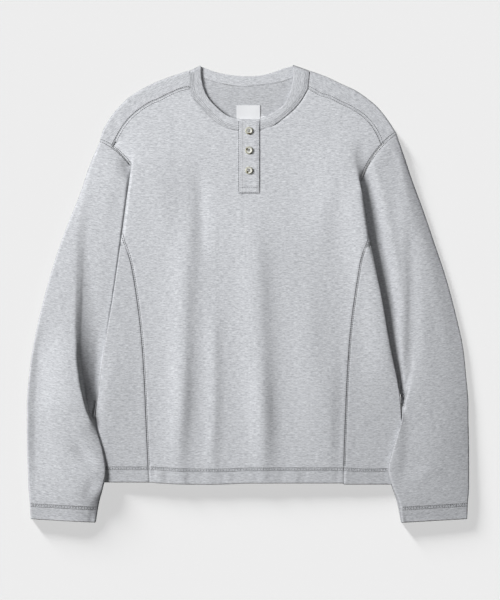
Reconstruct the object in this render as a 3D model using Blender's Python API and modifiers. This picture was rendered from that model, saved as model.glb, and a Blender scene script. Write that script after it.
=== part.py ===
# A long-sleeve henley t-shirt in heavy jersey, laid flat on its back with the sleeves folded down.
# Lengths in the tables are millimetres. "down" runs from the highest shoulder point towards the
# hem, and x is the distance from the middle line of the body. Left and right are as seen from above.

import math

import bmesh
import bpy
import numpy as np

MM = 0.001
TOP_Y = 371.2            # highest shoulder point in front of the origin
MIDDLE_X = 1.0           # the body's middle line beside the origin

# Cloth
WALL = 1.4               # one layer of jersey
BAND_WALL = 2.2          # neckband and placket are doubled
SEAM = 0.3               # gap between two pieces that are sewn together
BACK_HEIGHT = WALL / 2   # middle of the layer that lies on the surface
SHOULDER_TURN = 3.6      # radius of the fold along the top of the shoulders
SLEEVE_TURN_IN = 1.75    # radius of the sleeve's inner edge fold

# Small parts
BUTTON_RADIUS = 5.9
BUTTON_HEIGHT = 2.4
BUTTON_HOLE_RADIUS = 0.8
BUTTON_HOLE_SPACING = 1.5
BUTTON_DOWNS = (108.5, 140.0, 172.5)
PLACKET_LEFT = -14.6
PLACKET_RIGHT = 17.0
PLACKET_TOP = 89.5
PLACKET_BOTTOM = 210.0
LABEL_SIZE = (38.0, 34.0)
LABEL_MIDDLE = (-1.2, 83.5)
TAB_SIZE = (8.5, 15.0)
TAB_MIDDLE = (23.2, 91.5)
LABEL_WALL = 1.0

LEFT = "left"
RIGHT = "right"
SIGN = {LEFT: -1, RIGHT: 1}


def table(columns, *rows):
    return dict(zip(columns.split(), np.array(rows, float).T))


# The body's side folds: where they lie, the height of the top layer there and the fold's radius.
BODY = table(
    "down  left  right  top   turn",
    (106,  189,  170,   8.3,  2.8),
    (131,  190,  172,   9.8,  2.8),
    (163,  191,  176,   11.8, 2.8),
    (220,  198,  185,   12.0, 2.8),
    (278,  206,  195,   12.0, 2.8),
    (382,  221,  216,   12.0, 2.8),
    (446,  232,  227,   12.0, 2.8),
    (511,  241,  240,   12.0, 2.8),
    (543,  245,  245,   11.6, 2.7),
    (576,  250,  247,   4.8,  2.0),
    (616,  256,  249,   4.5,  1.9),
    (677,  259,  251,   4.5,  1.9),
)

# Height of the front's layer along the middle line.
MIDDLE = table(
    "down  height",
    (38,   7.9),
    (108,  8.3),
    (170,  7.8),
    (250,  7.4),
    (677,  7.2),
)

# Seams from the front panel to the side panels, curved from the underarm to the hem.
SIDE_SEAM = table(
    "down  left  right",
    (278,  206,  196),
    (296,  198,  188),
    (317,  191,  181),
    (341,  186,  177),
    (373,  181,  172),
    (438,  173,  164),
    (511,  168,  159),
    (584,  165,  156),
    (677,  161,  153),
)

# Seams from the back panel to the side panels, nearly straight.
BACK_SEAM = table(
    "down  left  right",
    (284,  160,  160),
    (677,  161,  154),
)

HEM = table(
    "x     down",
    (-259, 676.0),
    (-161, 676.0),
    (-105, 679.0),
    (-55,  679.5),
    (6,    677.5),
    (146,  677.5),
    (193,  679.5),
    (251,  676.5),
)

# Front neck seam, from the middle to the shoulder seam.
FRONT_NECK = {
    LEFT: table(
        "x   down",
        (0,  108.5),
        (19, 107.5),
        (34, 104),
        (47, 98),
        (60, 88),
        (70, 78),
        (79, 67),
        (91, 53),
        (95, 44),
        (96, 38),
    ),
    RIGHT: table(
        "x   down",
        (0,  108.5),
        (15, 108),
        (26, 104.5),
        (42, 99),
        (58, 87),
        (73, 74),
        (86, 58),
        (92, 47),
        (95, 42),
        (96, 38),
    ),
}

# Shoulders: the forward seam, and the fold above it that the back panel turns over.
SHOULDER = {
    LEFT: table(
        "seam_x seam_down edge_x edge_down",
        (96,    38,       96,    10),
        (112,   42,       123,   19),
        (128,   49,       150,   29),
        (144,   57,       174,   41),
        (160,   64,       193,   53),
        (177,   75,       209,   68),
        (193,   89,       221,   82),
        (204,   103,      230,   96),
        (212,   117,      237,   109),
        (221,   134,      241,   124),
    ),
    RIGHT: table(
        "seam_x seam_down edge_x edge_down",
        (96,    38,       99,    11),
        (115,   49,       126,   21),
        (131,   54,       149,   32),
        (147,   62,       171,   42),
        (164,   70,       189,   54),
        (180,   80,       205,   67),
        (196,   95,       219,   83),
        (208,   113,      232,   102),
        (215,   130,      238,   112),
    ),
}

# Back neck seam, from the middle to the fold beside the neckband.
BACK_NECK = {
    LEFT: table("x  down", (0, 35), (31, 34), (47, 30), (60, 26), (73, 22), (84, 17.5), (96, 10)),
    RIGHT: table("x down", (0, 35), (34, 31), (53, 28), (66, 23), (84, 18.5), (99, 11)),
}

# Armholes run from the shoulder to the underarm on a bowed line.
ARMHOLE = {
    LEFT: {"shoulder": (241, 124), "underarm": (160, 284), "bow": 28},
    RIGHT: {"shoulder": (238, 112), "underarm": (160, 284), "bow": 22},
}
ARMHOLE_HEIGHT = {
    LEFT: table("down height", (112, 7.9), (131, 7.9), (147, 7.3), (163, 6.2), (284, 6.2)),
    RIGHT: table("down height", (112, 7.9), (131, 7.9), (160, 7.3), (182, 6.2), (284, 6.2)),
}

# Sleeves: flattened tubes through sections from the outer to the inner edge. Across each section
# lie an outer ridge, a crease, a second crest and the lap beside the body, as a share of the
# width and the height there. lift raises the lower layer's inner part over the body.
SLEEVE_COLUMNS = (
    "outer_x outer_down inner_x inner_down ridge ridge_height crease crease_height"
    " crest crest_height lap lap_height lift"
)
SLEEVE = {
    LEFT: table(
        SLEEVE_COLUMNS,
        (241, 124, 161, 282.5, 0.08, 7.9, 0.14, 7.6, 0.20, 6.8, 0.32, 4.3, 0),
        (258, 164, 167, 294, 0.12, 10.2, 0.18, 9.8,  0.25, 8.4, 0.38, 4.2, 0),
        (275, 215, 178, 313, 0.14, 11.4, 0.22, 10.8, 0.34, 10.0, 0.56, 4.2, 0),
        (295, 265, 185, 341, 0.12, 11.6, 0.23, 10.4, 0.42, 11.0, 0.71, 4.4, 0),
        (313, 317, 193, 377, 0.15, 12.0, 0.32, 9.4,  0.50, 10.2, 0.77, 4.5, 0),
        (329, 373, 202, 422, 0.21, 12.6, 0.40, 8.0,  0.58, 8.8,  0.77, 4.5, 0),
        (342, 427, 215, 471, 0.28, 13.2, 0.51, 6.2,  0.66, 6.8,  0.81, 4.6, 0),
        (352, 482, 228, 513, 0.35, 13.4, 0.63, 5.2,  0.75, 5.4,  0.86, 4.6, 0),
        (356, 519, 243, 537, 0.40, 13.4, 0.76, 6.0,  0.86, 5.0,  0.94, 4.6, 0),
        (358, 548, 251, 553, 0.42, 13.4, 0.74, 9.0,  0.86, 7.6,  0.95, 6.4, 2.6),
        (358, 573, 251, 573, 0.44, 13.2, 0.70, 11.8, 0.84, 11.4, 0.95, 10.2, 5.6),
        (358, 620, 235, 628, 0.44, 12.8, 0.66, 12.2, 0.82, 12.2, 0.95, 10.6, 5.9),
        (357, 657, 231, 657, 0.44, 12.4, 0.66, 12.0, 0.82, 12.0, 0.95, 10.6, 5.9),
        (356, 683, 236, 684, 0.42, 11.8, 0.64, 11.2, 0.82, 11.2, 0.95, 9.8, 5.4),
        (354, 708, 243, 711, 0.38, 10.4, 0.62, 9.6,  0.80, 9.0,  0.95, 6.6, 1.2),
        (353, 735, 248, 741, 0.36, 9.6,  0.60, 9.2,  0.78, 8.6,  0.94, 6.2, 0),
    ),
    RIGHT: table(
        SLEEVE_COLUMNS,
        (238.6, 112.4, 161, 282.5, 0.08, 7.9, 0.16, 7.6, 0.26, 6.8, 0.40, 4.3, 0),
        (251, 148, 167, 294, 0.13, 10.2, 0.26, 9.4,  0.38, 9.0,  0.60, 4.2, 0),
        (264, 187, 178, 313, 0.12, 11.2, 0.27, 9.6,  0.43, 10.6, 0.72, 4.3, 0),
        (282, 236, 185, 341, 0.12, 11.6, 0.28, 9.4,  0.44, 11.0, 0.74, 4.4, 0),
        (300, 289, 193, 377, 0.18, 12.2, 0.38, 8.8,  0.53, 10.4, 0.77, 4.5, 0),
        (319, 346, 206, 422, 0.26, 12.8, 0.50, 7.6,  0.64, 9.0,  0.81, 4.5, 0),
        (335, 406, 219, 471, 0.38, 13.4, 0.65, 6.0,  0.76, 7.2,  0.86, 4.6, 0),
        (347, 462, 232, 513, 0.45, 13.4, 0.76, 5.2,  0.82, 5.4,  0.89, 4.6, 0),
        (352, 511, 246, 537, 0.48, 13.4, 0.80, 6.0,  0.88, 5.0,  0.95, 4.6, 0),
        (355, 547, 252, 551, 0.46, 13.4, 0.74, 9.0,  0.86, 7.6,  0.95, 6.4, 2.6),
        (355, 569, 251, 569, 0.44, 13.2, 0.70, 11.8, 0.84, 11.4, 0.95, 10.2, 5.6),
        (356, 620, 231, 624, 0.42, 12.8, 0.64, 12.2, 0.82, 12.2, 0.95, 10.6, 5.9),
        (356, 654, 224, 654, 0.42, 12.4, 0.64, 12.0, 0.82, 12.0, 0.95, 10.6, 5.9),
        (356, 683, 231, 682, 0.42, 11.8, 0.64, 11.2, 0.82, 11.2, 0.95, 9.8, 5.4),
        (354, 709, 240, 710, 0.38, 10.4, 0.62, 9.6,  0.80, 9.0,  0.95, 6.6, 1.2),
        (353, 735, 246, 741, 0.36, 9.6,  0.60, 9.2,  0.78, 8.6,  0.94, 6.2, 0),
    ),
}
ARMHOLE_GAP = 0.8        # from the sleeve to the body's edge
LIFT_FROM = 0.44         # share of the sleeve's width where its lower layer starts to rise
LIFT_TO = 0.72

# Neckband: its seam follows the front and back neck seams at out_x, and in is its free edge.
BAND_FRONT = {
    LEFT: table("out_x in_x in_down", (15.2, 15.2, 89.5), (34, 31, 86), (50, 43, 78.5), (66, 56, 67),
                (80, 67, 54), (91, 73.5, 40)),
    RIGHT: table("out_x in_x in_down", (17.4, 17.4, 89), (34, 31, 83), (50, 45, 75), (66, 56, 66.5),
                 (80, 64, 52), (91, 68.5, 38)),
}
BAND_BACK = {
    LEFT: table("out_x in_x in_down", (84, 67, 8.4), (70, 57, 12), (48, 44, 15.6), (24, 22, 19), (0, 0, 20)),
    RIGHT: table("out_x in_x in_down", (84, 62, 5.4), (70, 51, 9.2), (48, 38, 14), (24, 20, 18.5), (0, 0, 20)),
}
# Beside the shoulder flap, and along the fold over the shoulder.
BAND_SIDE = {
    LEFT: {"out": (95.0, 27), "in": (77.8, 18), "fold_out": (94.8, 10.1), "fold_in": (79, 1.9), "way": (-0.33, 0.94)},
    RIGHT: {"out": (95.8, 27), "in": (71.3, 18), "fold_out": (97.3, 10.5), "fold_in": (71.8, 1.2), "way": (-0.35, 0.94)},
}
BAND_HEIGHT = 8.8        # middle of its front layer
BAND_GAP = 0.45          # from its seam edge to the body

# Columns and rows that neighbouring pieces share along their seams.
NECK_COLUMNS = (0, 16, 34, 50, 66, 80, 91)
SHOULDER_START = 96
RUN_STEPS = 3            # from the shoulder seam's neck end to the side fold
FOLD_STEPS = 4           # over the side fold
BACK_NECK_COLUMNS = (0, 24, 48, 70, 84)
ARMHOLE_ROWS = (142, 152, 163, 190, 219, 249, 275)
SIDE_ROWS = (285, 288, 291, 294, 297, 317, 345, 400, 470, 535, 558, 580, 620)
SEAM_FROM = 297          # the side seam is on top from here on
BACK_ROWS = (285, 420, 550)
TOP_STEPS = 2            # rows above the first armhole row
TURN_STEPS = 4
FLAP_STEPS = 2


def smooth(x, xs, ys):
    """Reads a table column at x, on a curve that never swings past the rows."""
    x = min(max(float(x), xs[0]), xs[-1])
    i = min(max(int(np.searchsorted(xs, x)) - 1, 0), len(xs) - 2)

    def rise(j):
        return (ys[j + 1] - ys[j]) / (xs[j + 1] - xs[j])

    def slope(j):
        before = rise(max(j - 1, 0))
        after = rise(min(j, len(xs) - 2))
        return 2 * before * after / (before + after) if before * after > 0 else 0

    step = xs[i + 1] - xs[i]
    f = (x - xs[i]) / step
    start = ys[i] * (1 + 2 * f) * (1 - f) ** 2 + slope(i) * step * f * (1 - f) ** 2
    end = ys[i + 1] * (3 - 2 * f) * f ** 2 + slope(i + 1) * step * (f - 1) * f ** 2
    return float(start + end)


def read(rows, key, column, at):
    return smooth(at, rows[key], rows[column])


def ease(x):
    x = min(max(x, 0.0), 1.0)
    return x * x * (3 - 2 * x)


def mix(a, b, share):
    return a + (b - a) * share


def place(side, x, down, height):
    return ((SIGN[side] * x + MIDDLE_X) * MM, (TOP_Y - down) * MM, height * MM)


# ---- the body's section across: top layer, side fold and the layer under it

def fold_at(side, down):
    """Where the side fold starts, the height of the top layer there and the fold's radius."""
    turn = read(BODY, "down", "turn", down)
    edge = read(BODY, "down", side, down) - WALL / 2
    return edge - turn, read(BODY, "down", "top", down), turn


def top_height(side, x, down):
    start, top, turn = fold_at(side, down)
    middle = read(MIDDLE, "down", "height", down)
    return mix(middle, top, ease((x / start - 0.35) / 0.65))


def armhole_point(side, share):
    """The armhole's line in plan, from the shoulder at 0 to the underarm at 1."""
    line = ARMHOLE[side]
    start = np.array(line["shoulder"], float)
    run = np.array(line["underarm"], float) - start
    across = np.array((-run[1], run[0])) / np.hypot(*run)
    bow = line["bow"] * math.sin(math.pi * share ** 0.8)
    x, down = start + run * share + across * bow
    return float(x), float(down)


ARMHOLE_SHARES = np.linspace(0, 1, 201)
ARMHOLE_LINES = {
    side: np.array([armhole_point(side, share) for share in ARMHOLE_SHARES]) for side in SIGN
}


def armhole_x(side, down):
    line = ARMHOLE_LINES[side]
    return float(np.interp(down, line[:, 1], line[:, 0]))


def armhole_share(side, down):
    return float(np.interp(down, ARMHOLE_LINES[side][:, 1], ARMHOLE_SHARES))


def front_end(side, down):
    """Where the front ends above the underarm: the armhole, or the shoulder seam's end."""
    corner = SHOULDER[side]
    down = max(down, corner["seam_down"][-1])
    x = armhole_x(side, down)
    start, top, turn = fold_at(side, down)
    height = read(ARMHOLE_HEIGHT[side], "down", "height", down)
    return x, min(height, top - 2 * turn) if x < start + turn else height


def wrap(side, down):
    """Angle turned round the side fold and the straight length after it, down to the armhole."""
    start, top, turn = fold_at(side, down)
    x, height = front_end(side, down)
    dx = x - start
    dz = height - (top - turn)
    length = math.sqrt(max(dx * dx + dz * dz - turn * turn, 0))
    angle = math.atan2(turn, length) - math.atan2(dz, dx)
    return angle % (2 * math.pi), length


def seam_reach(side, down):
    x = read(SIDE_SEAM, "down", side, down)
    start, top, turn = fold_at(side, down)
    if x < start:
        return x
    return start + turn * math.asin(min((x - start) / turn, 1))


def front_reach(side, down):
    """Distance from the middle line to the front's side edge, measured along the cloth."""
    last_armhole = ARMHOLE_ROWS[-1]
    if down >= SEAM_FROM:
        return seam_reach(side, down)
    start, top, turn = fold_at(side, down)
    angle, length = wrap(side, min(down, last_armhole))
    whole = start + turn * angle + length
    if down <= last_armhole:
        return whole
    return mix(whole, seam_reach(side, SEAM_FROM), (down - last_armhole) / (SEAM_FROM - last_armhole))


def front_point(side, reach, down):
    """x and height of the front at this reach along its section."""
    start, top, turn = fold_at(side, down)
    if reach <= start:
        return reach, top_height(side, reach, down)
    angle, length = wrap(side, min(down, ARMHOLE_ROWS[-1]))
    bend = min((reach - start) / turn, angle)
    tail = reach - start - turn * bend
    x = start + turn * math.sin(bend) + tail * math.cos(bend)
    return x, top - turn * (1 - math.cos(bend)) - tail * math.sin(bend)


def sleeve_inner_x(side, down):
    rows = SLEEVE[side]
    return smooth(down, rows["inner_down"], rows["inner_x"])


def side_place(side, reach, down):
    """The side panel: top layer, round the fold, then back under it over the tucked sleeve."""
    start, top, turn = fold_at(side, down)
    if reach <= start:
        return place(side, reach, down, top_height(side, reach, down))
    if reach <= start + turn * math.pi:
        bend = (reach - start) / turn
        return place(side, start + turn * math.sin(bend), down, top - turn * (1 - math.cos(bend)))
    x = start - (reach - start - turn * math.pi)
    under = top - 2 * turn
    back = read(BACK_SEAM, "down", side, down)
    clear = sleeve_inner_x(side, down) - 1.6
    floor = mix(under, BACK_HEIGHT, ease((down - 280) / 26))
    height = mix(floor, under, ease((x - back) / max(clear - back, 1)))
    return place(side, x, down, height)


# ---- meshes

def material(name, colour, roughness):
    made = bpy.data.materials.new(name)
    made.use_nodes = True
    shader = made.node_tree.nodes["Principled BSDF"]
    shader.inputs["Base Color"].default_value = (*colour, 1)
    shader.inputs["Roughness"].default_value = roughness
    shader.inputs["Metallic"].default_value = 0
    made.diffuse_color = (*colour, 1)
    return made


def keep(mesh_data, name, look):
    mesh = bpy.data.meshes.new(name)
    mesh_data.to_mesh(mesh)
    mesh_data.free()
    mesh.materials.append(look)
    mesh.shade_smooth()
    made = bpy.data.objects.new(name, mesh)
    GARMENT.objects.link(made)
    return made


def thicken(piece, wall):
    solidify = piece.modifiers.new("wall", "SOLIDIFY")
    solidify.thickness = wall * MM
    solidify.offset = 0
    return piece


def grid(columns, rows, put):
    """A sheet of columns by rows, each vertex put in place by its column and row number."""
    sheet = bmesh.new()
    bmesh.ops.create_grid(sheet, x_segments=columns, y_segments=rows, size=0.5)
    for vert in sheet.verts:
        column = round((vert.co.x + 0.5) * columns)
        row = round((0.5 - vert.co.y) * rows)
        vert.co = put(column, row)
    return sheet


def front_top(side, x):
    if x <= SHOULDER_START:
        return read(FRONT_NECK[side], "x", "down", x)
    seam = SHOULDER[side]
    return smooth(x, seam["seam_x"], seam["seam_down"])


def column_count():
    return len(NECK_COLUMNS) + RUN_STEPS + FOLD_STEPS


def column_reach(side, k, down):
    """Reach of column k: even steps to the side fold, then even steps over it to the edge."""
    start = fold_at(side, down)[0]
    end = front_reach(side, down)
    knee = min(start, 0.93 * end)
    turns = column_count() - FOLD_STEPS
    if k > turns:
        return mix(knee, end, (k - turns) / FOLD_STEPS)
    top = fold_at(side, SHOULDER[side]["seam_down"][-1])[0]
    xs = [*NECK_COLUMNS, *np.linspace(SHOULDER_START, top, RUN_STEPS + 1)]
    return knee * xs[k] / top


def column_top(side, k):
    """Where column k of the front meets the neck or shoulder seam."""
    down = SHOULDER_START
    for step in range(8):
        x, height = front_point(side, column_reach(side, k, down), down)
        down = front_top(side, x)
    return x, down


def row_down(row, top, bottom, lower_rows):
    """Rows from a piece's top edge to its bottom one, through the armhole's rows and these."""
    shared = (*ARMHOLE_ROWS, *lower_rows)
    if row <= TOP_STEPS:
        return mix(top, shared[0], row / TOP_STEPS)
    if row - TOP_STEPS < len(shared):
        return shared[row - TOP_STEPS]
    return bottom


def row_count(lower_rows):
    return TOP_STEPS + len(ARMHOLE_ROWS) + len(lower_rows)


def hem_down(side, x):
    return smooth(SIGN[side] * x, HEM["x"], HEM["down"])


def make_front(look):
    half = column_count()

    def put(column, row):
        side = LEFT if column < half else RIGHT
        k = abs(column - half)
        x, top = column_top(side, k)
        down = row_down(row, top + SEAM * 1.4, hem_down(side, x * 0.75), SIDE_ROWS)
        x, height = front_point(side, column_reach(side, k, down), down)
        return place(side, x, down, height)

    return thicken(keep(grid(2 * half, row_count(SIDE_ROWS), put), "front", look), WALL)


def shoulder_fold(side, seam_x):
    """The fold line above a point of the shoulder seam, and the way in from it."""
    rows = SHOULDER[side]

    def edge(at):
        return np.array([read(rows, "seam_x", column, at) for column in ("edge_x", "edge_down")])

    ahead = edge(min(seam_x + 2, rows["seam_x"][-1]))
    behind = edge(max(seam_x - 2, rows["seam_x"][0]))
    along = (ahead - behind) / np.hypot(*(ahead - behind))
    inward = np.array((-along[1], along[0]))
    return edge(seam_x) + inward * WALL / 2, inward


def side_x(side, down):
    """The back panel's side edge: the armhole, then the back seam."""
    if down < ARMHOLE[side]["underarm"][1]:
        return armhole_x(side, down)
    return read(BACK_SEAM, "down", side, down)


def make_back(look):
    neck = len(BACK_NECK_COLUMNS)
    first = len(NECK_COLUMNS)
    seams = {side: [column_top(side, k) for k in range(first, column_count() + 1)] for side in SIGN}
    half = neck + len(seams[LEFT]) - 1
    turned = FLAP_STEPS + TURN_STEPS

    def top_edge(side, k):
        """Where column k starts to lie on the surface."""
        if k < neck:
            x = BACK_NECK_COLUMNS[k]
            return x, read(BACK_NECK[side], "x", "down", x) + SEAM
        fold, inward = shoulder_fold(side, seams[side][k - neck][0])
        return tuple(fold + inward * SHOULDER_TURN)

    def flap(side, k, row):
        seam = np.array(seams[side][k - neck])
        fold, inward = shoulder_fold(side, seam[0])
        upper = BACK_HEIGHT + 2 * SHOULDER_TURN
        if row < FLAP_STEPS:
            x, down = mix(seam, fold + inward * SHOULDER_TURN, row / FLAP_STEPS)
            return place(side, x, down, upper)
        bend = math.pi * (row - FLAP_STEPS) / TURN_STEPS
        x, down = fold + inward * SHOULDER_TURN * (1 - math.sin(bend))
        return place(side, x, down, BACK_HEIGHT + SHOULDER_TURN * (1 + math.cos(bend)))

    def put(column, row):
        side = LEFT if column < half else RIGHT
        k = abs(column - half)
        if row < turned:
            return flap(side, max(k, neck), row)
        x, top = top_edge(side, k)
        tip_x, tip_down = top_edge(side, half)
        down = row_down(row - turned, top, hem_down(side, x * 0.66) - 1, BACK_ROWS)
        if down > tip_down + 1:
            x *= side_x(side, down) / tip_x
        return place(side, x, down, BACK_HEIGHT)

    rows = row_count(BACK_ROWS) + turned
    sheet = grid(2 * half, rows, put)
    sheet.faces.ensure_lookup_table()
    spare = [
        face
        for index, face in enumerate(sheet.faces)
        if abs(index % (2 * half) - half + 0.5) < neck
        and rows - 1 - index // (2 * half) < turned
    ]
    bmesh.ops.delete(sheet, geom=spare, context="FACES")
    return thicken(keep(sheet, "back", look), WALL)


def make_side(side, look):
    columns = 12
    shared = SIDE_ROWS

    def put(column, row):
        if SIGN[side] > 0:
            column = columns - column
        down = shared[row] if row < len(shared) else hem_down(side, 200)
        start, top, turn = fold_at(side, down)
        front = front_reach(side, down) + SEAM * (6 if down < SEAM_FROM else 1)
        before = max(start - 2, front + 1)
        after = max(start + turn * math.pi + 2, front + 2)
        back_x = read(BACK_SEAM, "down", side, down) + SEAM
        back = start + turn * math.pi + start - back_x
        reaches = (front, before, after, back)
        third = min(column // 4, 2)
        reach = mix(reaches[third], reaches[third + 1], column / 4 - third)
        return side_place(side, reach, down)

    return thicken(keep(grid(columns, len(shared), put), "side_" + side, look), WALL)


# ---- sleeves

def sleeve_shares(side):
    """Shares of the width where a sleeve's points lie, meeting the body's rows at the armhole."""
    tip = ARMHOLE[side]["shoulder"][1] + 1.4
    first = ARMHOLE_ROWS[0]
    between = [mix(tip, first, step / TOP_STEPS) for step in range(1, TOP_STEPS)]
    return [armhole_share(side, down) for down in (*between, *ARMHOLE_ROWS)]


def sleeve_heights(rows, k, turn_out):
    """Height of the upper layer across section k, as a table of share and height."""
    inner = BACK_HEIGHT + rows["lift"][k] + 2 * SLEEVE_TURN_IN
    shares = [0, rows["ridge"][k], rows["crease"][k], rows["crest"][k], rows["lap"][k], 1]
    names = ("ridge_height", "crease_height", "crest_height", "lap_height")
    heights = [BACK_HEIGHT + 2 * turn_out, *(rows[name][k] for name in names), inner]
    return np.array(shares), np.array(heights)


def sleeve_section(side, k):
    """The ring of points round section k, lower layer first, then the outer fold and the top."""
    rows = SLEEVE[side]
    outer = np.array((rows["outer_x"][k], rows["outer_down"][k]))
    inner = np.array((rows["inner_x"][k], rows["inner_down"][k]))
    width = np.hypot(*(inner - outer)) - WALL
    along = (inner - outer) / np.hypot(*(inner - outer))
    across = np.array((-along[1], along[0]))
    shares, heights = sleeve_heights(rows, k, SHOULDER_TURN)
    bow = ARMHOLE[side]["bow"] * max(1 - k / 4, 0)
    gap = ARMHOLE_GAP if k == 0 else 0

    def plan(distance):
        share = (distance + WALL / 2) / (width + WALL)
        offset = across * (bow * math.sin(math.pi * share ** 0.8) - gap)
        return outer + along * (distance + WALL / 2) + offset

    def lower(share):
        return BACK_HEIGHT + rows["lift"][k] * ease((share - LIFT_FROM) / (LIFT_TO - LIFT_FROM))

    flat = [(share, share * width) for share in sleeve_shares(side)]
    ring = [(plan(d), lower(share)) for share, d in reversed(flat)]
    for step in range(TURN_STEPS + 1):
        bend = math.pi * step / TURN_STEPS
        distance = SHOULDER_TURN * (1 - math.sin(bend))
        ring.append((plan(distance), BACK_HEIGHT + SHOULDER_TURN * (1 - math.cos(bend))))
    ring += [(plan(d), smooth(share, shares, heights)) for share, d in flat]
    base = BACK_HEIGHT + rows["lift"][k]
    for step in range(TURN_STEPS + 1):
        bend = math.pi * step / TURN_STEPS
        distance = width - SLEEVE_TURN_IN * (1 - math.sin(bend))
        ring.append((plan(distance), base + SLEEVE_TURN_IN * (1 + math.cos(bend))))
    return ring


def make_sleeve(side, look):
    sections = [sleeve_section(side, k) for k in range(len(SLEEVE[side]["lift"]))]
    around = len(sections[0])

    def put(column, row):
        (x, down), height = sections[row][column % around]
        return place(side, x, down, height)

    sheet = grid(around, len(sections) - 1, put)
    bmesh.ops.remove_doubles(sheet, verts=sheet.verts, dist=1e-6)
    return thicken(keep(sheet, "sleeve_" + side, look), WALL)


# ---- neck, placket and small parts

def band_half(side):
    """Stations from the front end over the shoulder to the back's middle: in, out and height."""
    stations = []
    front = BAND_FRONT[side]
    for x, in_x, in_down in zip(front["out_x"], front["in_x"], front["in_down"]):
        out = (x, read(FRONT_NECK[side], "x", "down", x))
        stations.append(((in_x, in_down), out, BAND_HEIGHT))
    beside = BAND_SIDE[side]
    stations.append((beside["in"], beside["out"], BAND_HEIGHT))
    low = BAND_WALL / 2
    turn = (BAND_HEIGHT - low) / 2
    for step in range(6):
        bend = math.pi * step / 5
        way = np.array(beside["way"]) * turn * (1 - math.sin(bend)) + np.array(beside["way"]) * BAND_WALL / 2
        height = low + turn * (1 + math.cos(bend))
        stations.append((np.array(beside["fold_in"]) + way, np.array(beside["fold_out"]) + way, height))
    back = BAND_BACK[side]
    for x, in_x, in_down in zip(back["out_x"], back["in_x"], back["in_down"]):
        out = (x, read(BACK_NECK[side], "x", "down", x) + SEAM)
        stations.append(((in_x, in_down), out, low))
    return stations


def make_neckband(look):
    left = [(LEFT, *station) for station in band_half(LEFT)]
    right = [(RIGHT, *station) for station in band_half(RIGHT)]
    stations = left + right[-2::-1]

    def put(column, row):
        side, inner, outer, height = stations[column]
        inner = np.array(inner, float)
        outer = np.array(outer, float)
        outer = outer + (inner - outer) / np.hypot(*(inner - outer)) * BAND_GAP
        x, down = mix(inner, outer, row / 2)
        return place(side, x, down, height)

    return thicken(keep(grid(len(stations) - 1, 2, put), "neckband", look), BAND_WALL)


def placket_height(down):
    return read(MIDDLE, "down", "height", down) + WALL / 2 + SEAM + BAND_WALL / 2


def make_placket(look):
    rows = 10

    def put(column, row):
        x = mix(PLACKET_LEFT, PLACKET_RIGHT, column / 2)
        down = mix(PLACKET_TOP, PLACKET_BOTTOM, row / rows)
        return place(RIGHT, x, down, placket_height(max(down, 108)))

    return thicken(keep(grid(2, rows, put), "placket", look), BAND_WALL)


def make_label(name, middle, size, look):
    def put(column, row):
        x = middle[0] + size[0] * (column / 2 - 0.5)
        down = middle[1] + size[1] * (row / 2 - 0.5)
        return place(RIGHT, x, down, WALL + SEAM + LABEL_WALL / 2)

    return thicken(keep(grid(2, 2, put), name, look), LABEL_WALL)


def turned(name, profile, collection, look=None, steps=16):
    """A solid turned round Z from a profile of radius and height, in millimetres."""
    outline = bmesh.new()
    verts = [outline.verts.new((radius * MM, 0, height * MM)) for radius, height in profile]
    for a, b in zip(verts, verts[1:]):
        outline.edges.new((a, b))
    mesh = bpy.data.meshes.new(name)
    outline.to_mesh(mesh)
    outline.free()
    made = bpy.data.objects.new(name, mesh)
    collection.objects.link(made)
    screw = made.modifiers.new("turn", "SCREW")
    screw.steps = steps
    screw.render_steps = steps
    screw.use_merge_vertices = True
    screw.merge_threshold = 0.00001
    if look:
        mesh.materials.append(look)
    return made


def make_button(number, down, look):
    """A four-hole button with a raised rim, lying on the placket."""
    radius = BUTTON_RADIUS
    base = placket_height(down) + BAND_WALL / 2 + SEAM
    profile = (
        (0, 1.5),
        (3.4, 1.6),
        (4.4, BUTTON_HEIGHT),
        (radius - 0.5, BUTTON_HEIGHT - 0.1),
        (radius, 1.6),
        (radius - 0.3, 0.7),
        (4.2, 0),
        (0, 0),
    )
    made = turned("button_%d" % number, profile, GARMENT, look)
    made.location = place(RIGHT, 0, down, base)
    for index in range(4):
        angle = math.pi * (index / 2 + 0.25)
        x = BUTTON_HOLE_SPACING * math.cos(angle)
        y = BUTTON_HOLE_SPACING * math.sin(angle)
        hole = turned("hole", ((0, 4), (BUTTON_HOLE_RADIUS, 4), (BUTTON_HOLE_RADIUS, -1), (0, -1)), CUTTERS, steps=6)
        hole.location = (made.location.x + x * MM, made.location.y + y * MM, made.location.z)
        hole.hide_render = True
        hole.display_type = "WIRE"
        cut = made.modifiers.new("hole", "BOOLEAN")
        cut.operation = "DIFFERENCE"
        cut.object = hole
    return made


for old in list(bpy.data.objects):
    bpy.data.objects.remove(old)
GARMENT = bpy.data.collections.new("long_sleeve_henley")
CUTTERS = bpy.data.collections.new("cutters")
bpy.context.scene.collection.children.link(GARMENT)
bpy.context.scene.collection.children.link(CUTTERS)

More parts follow.
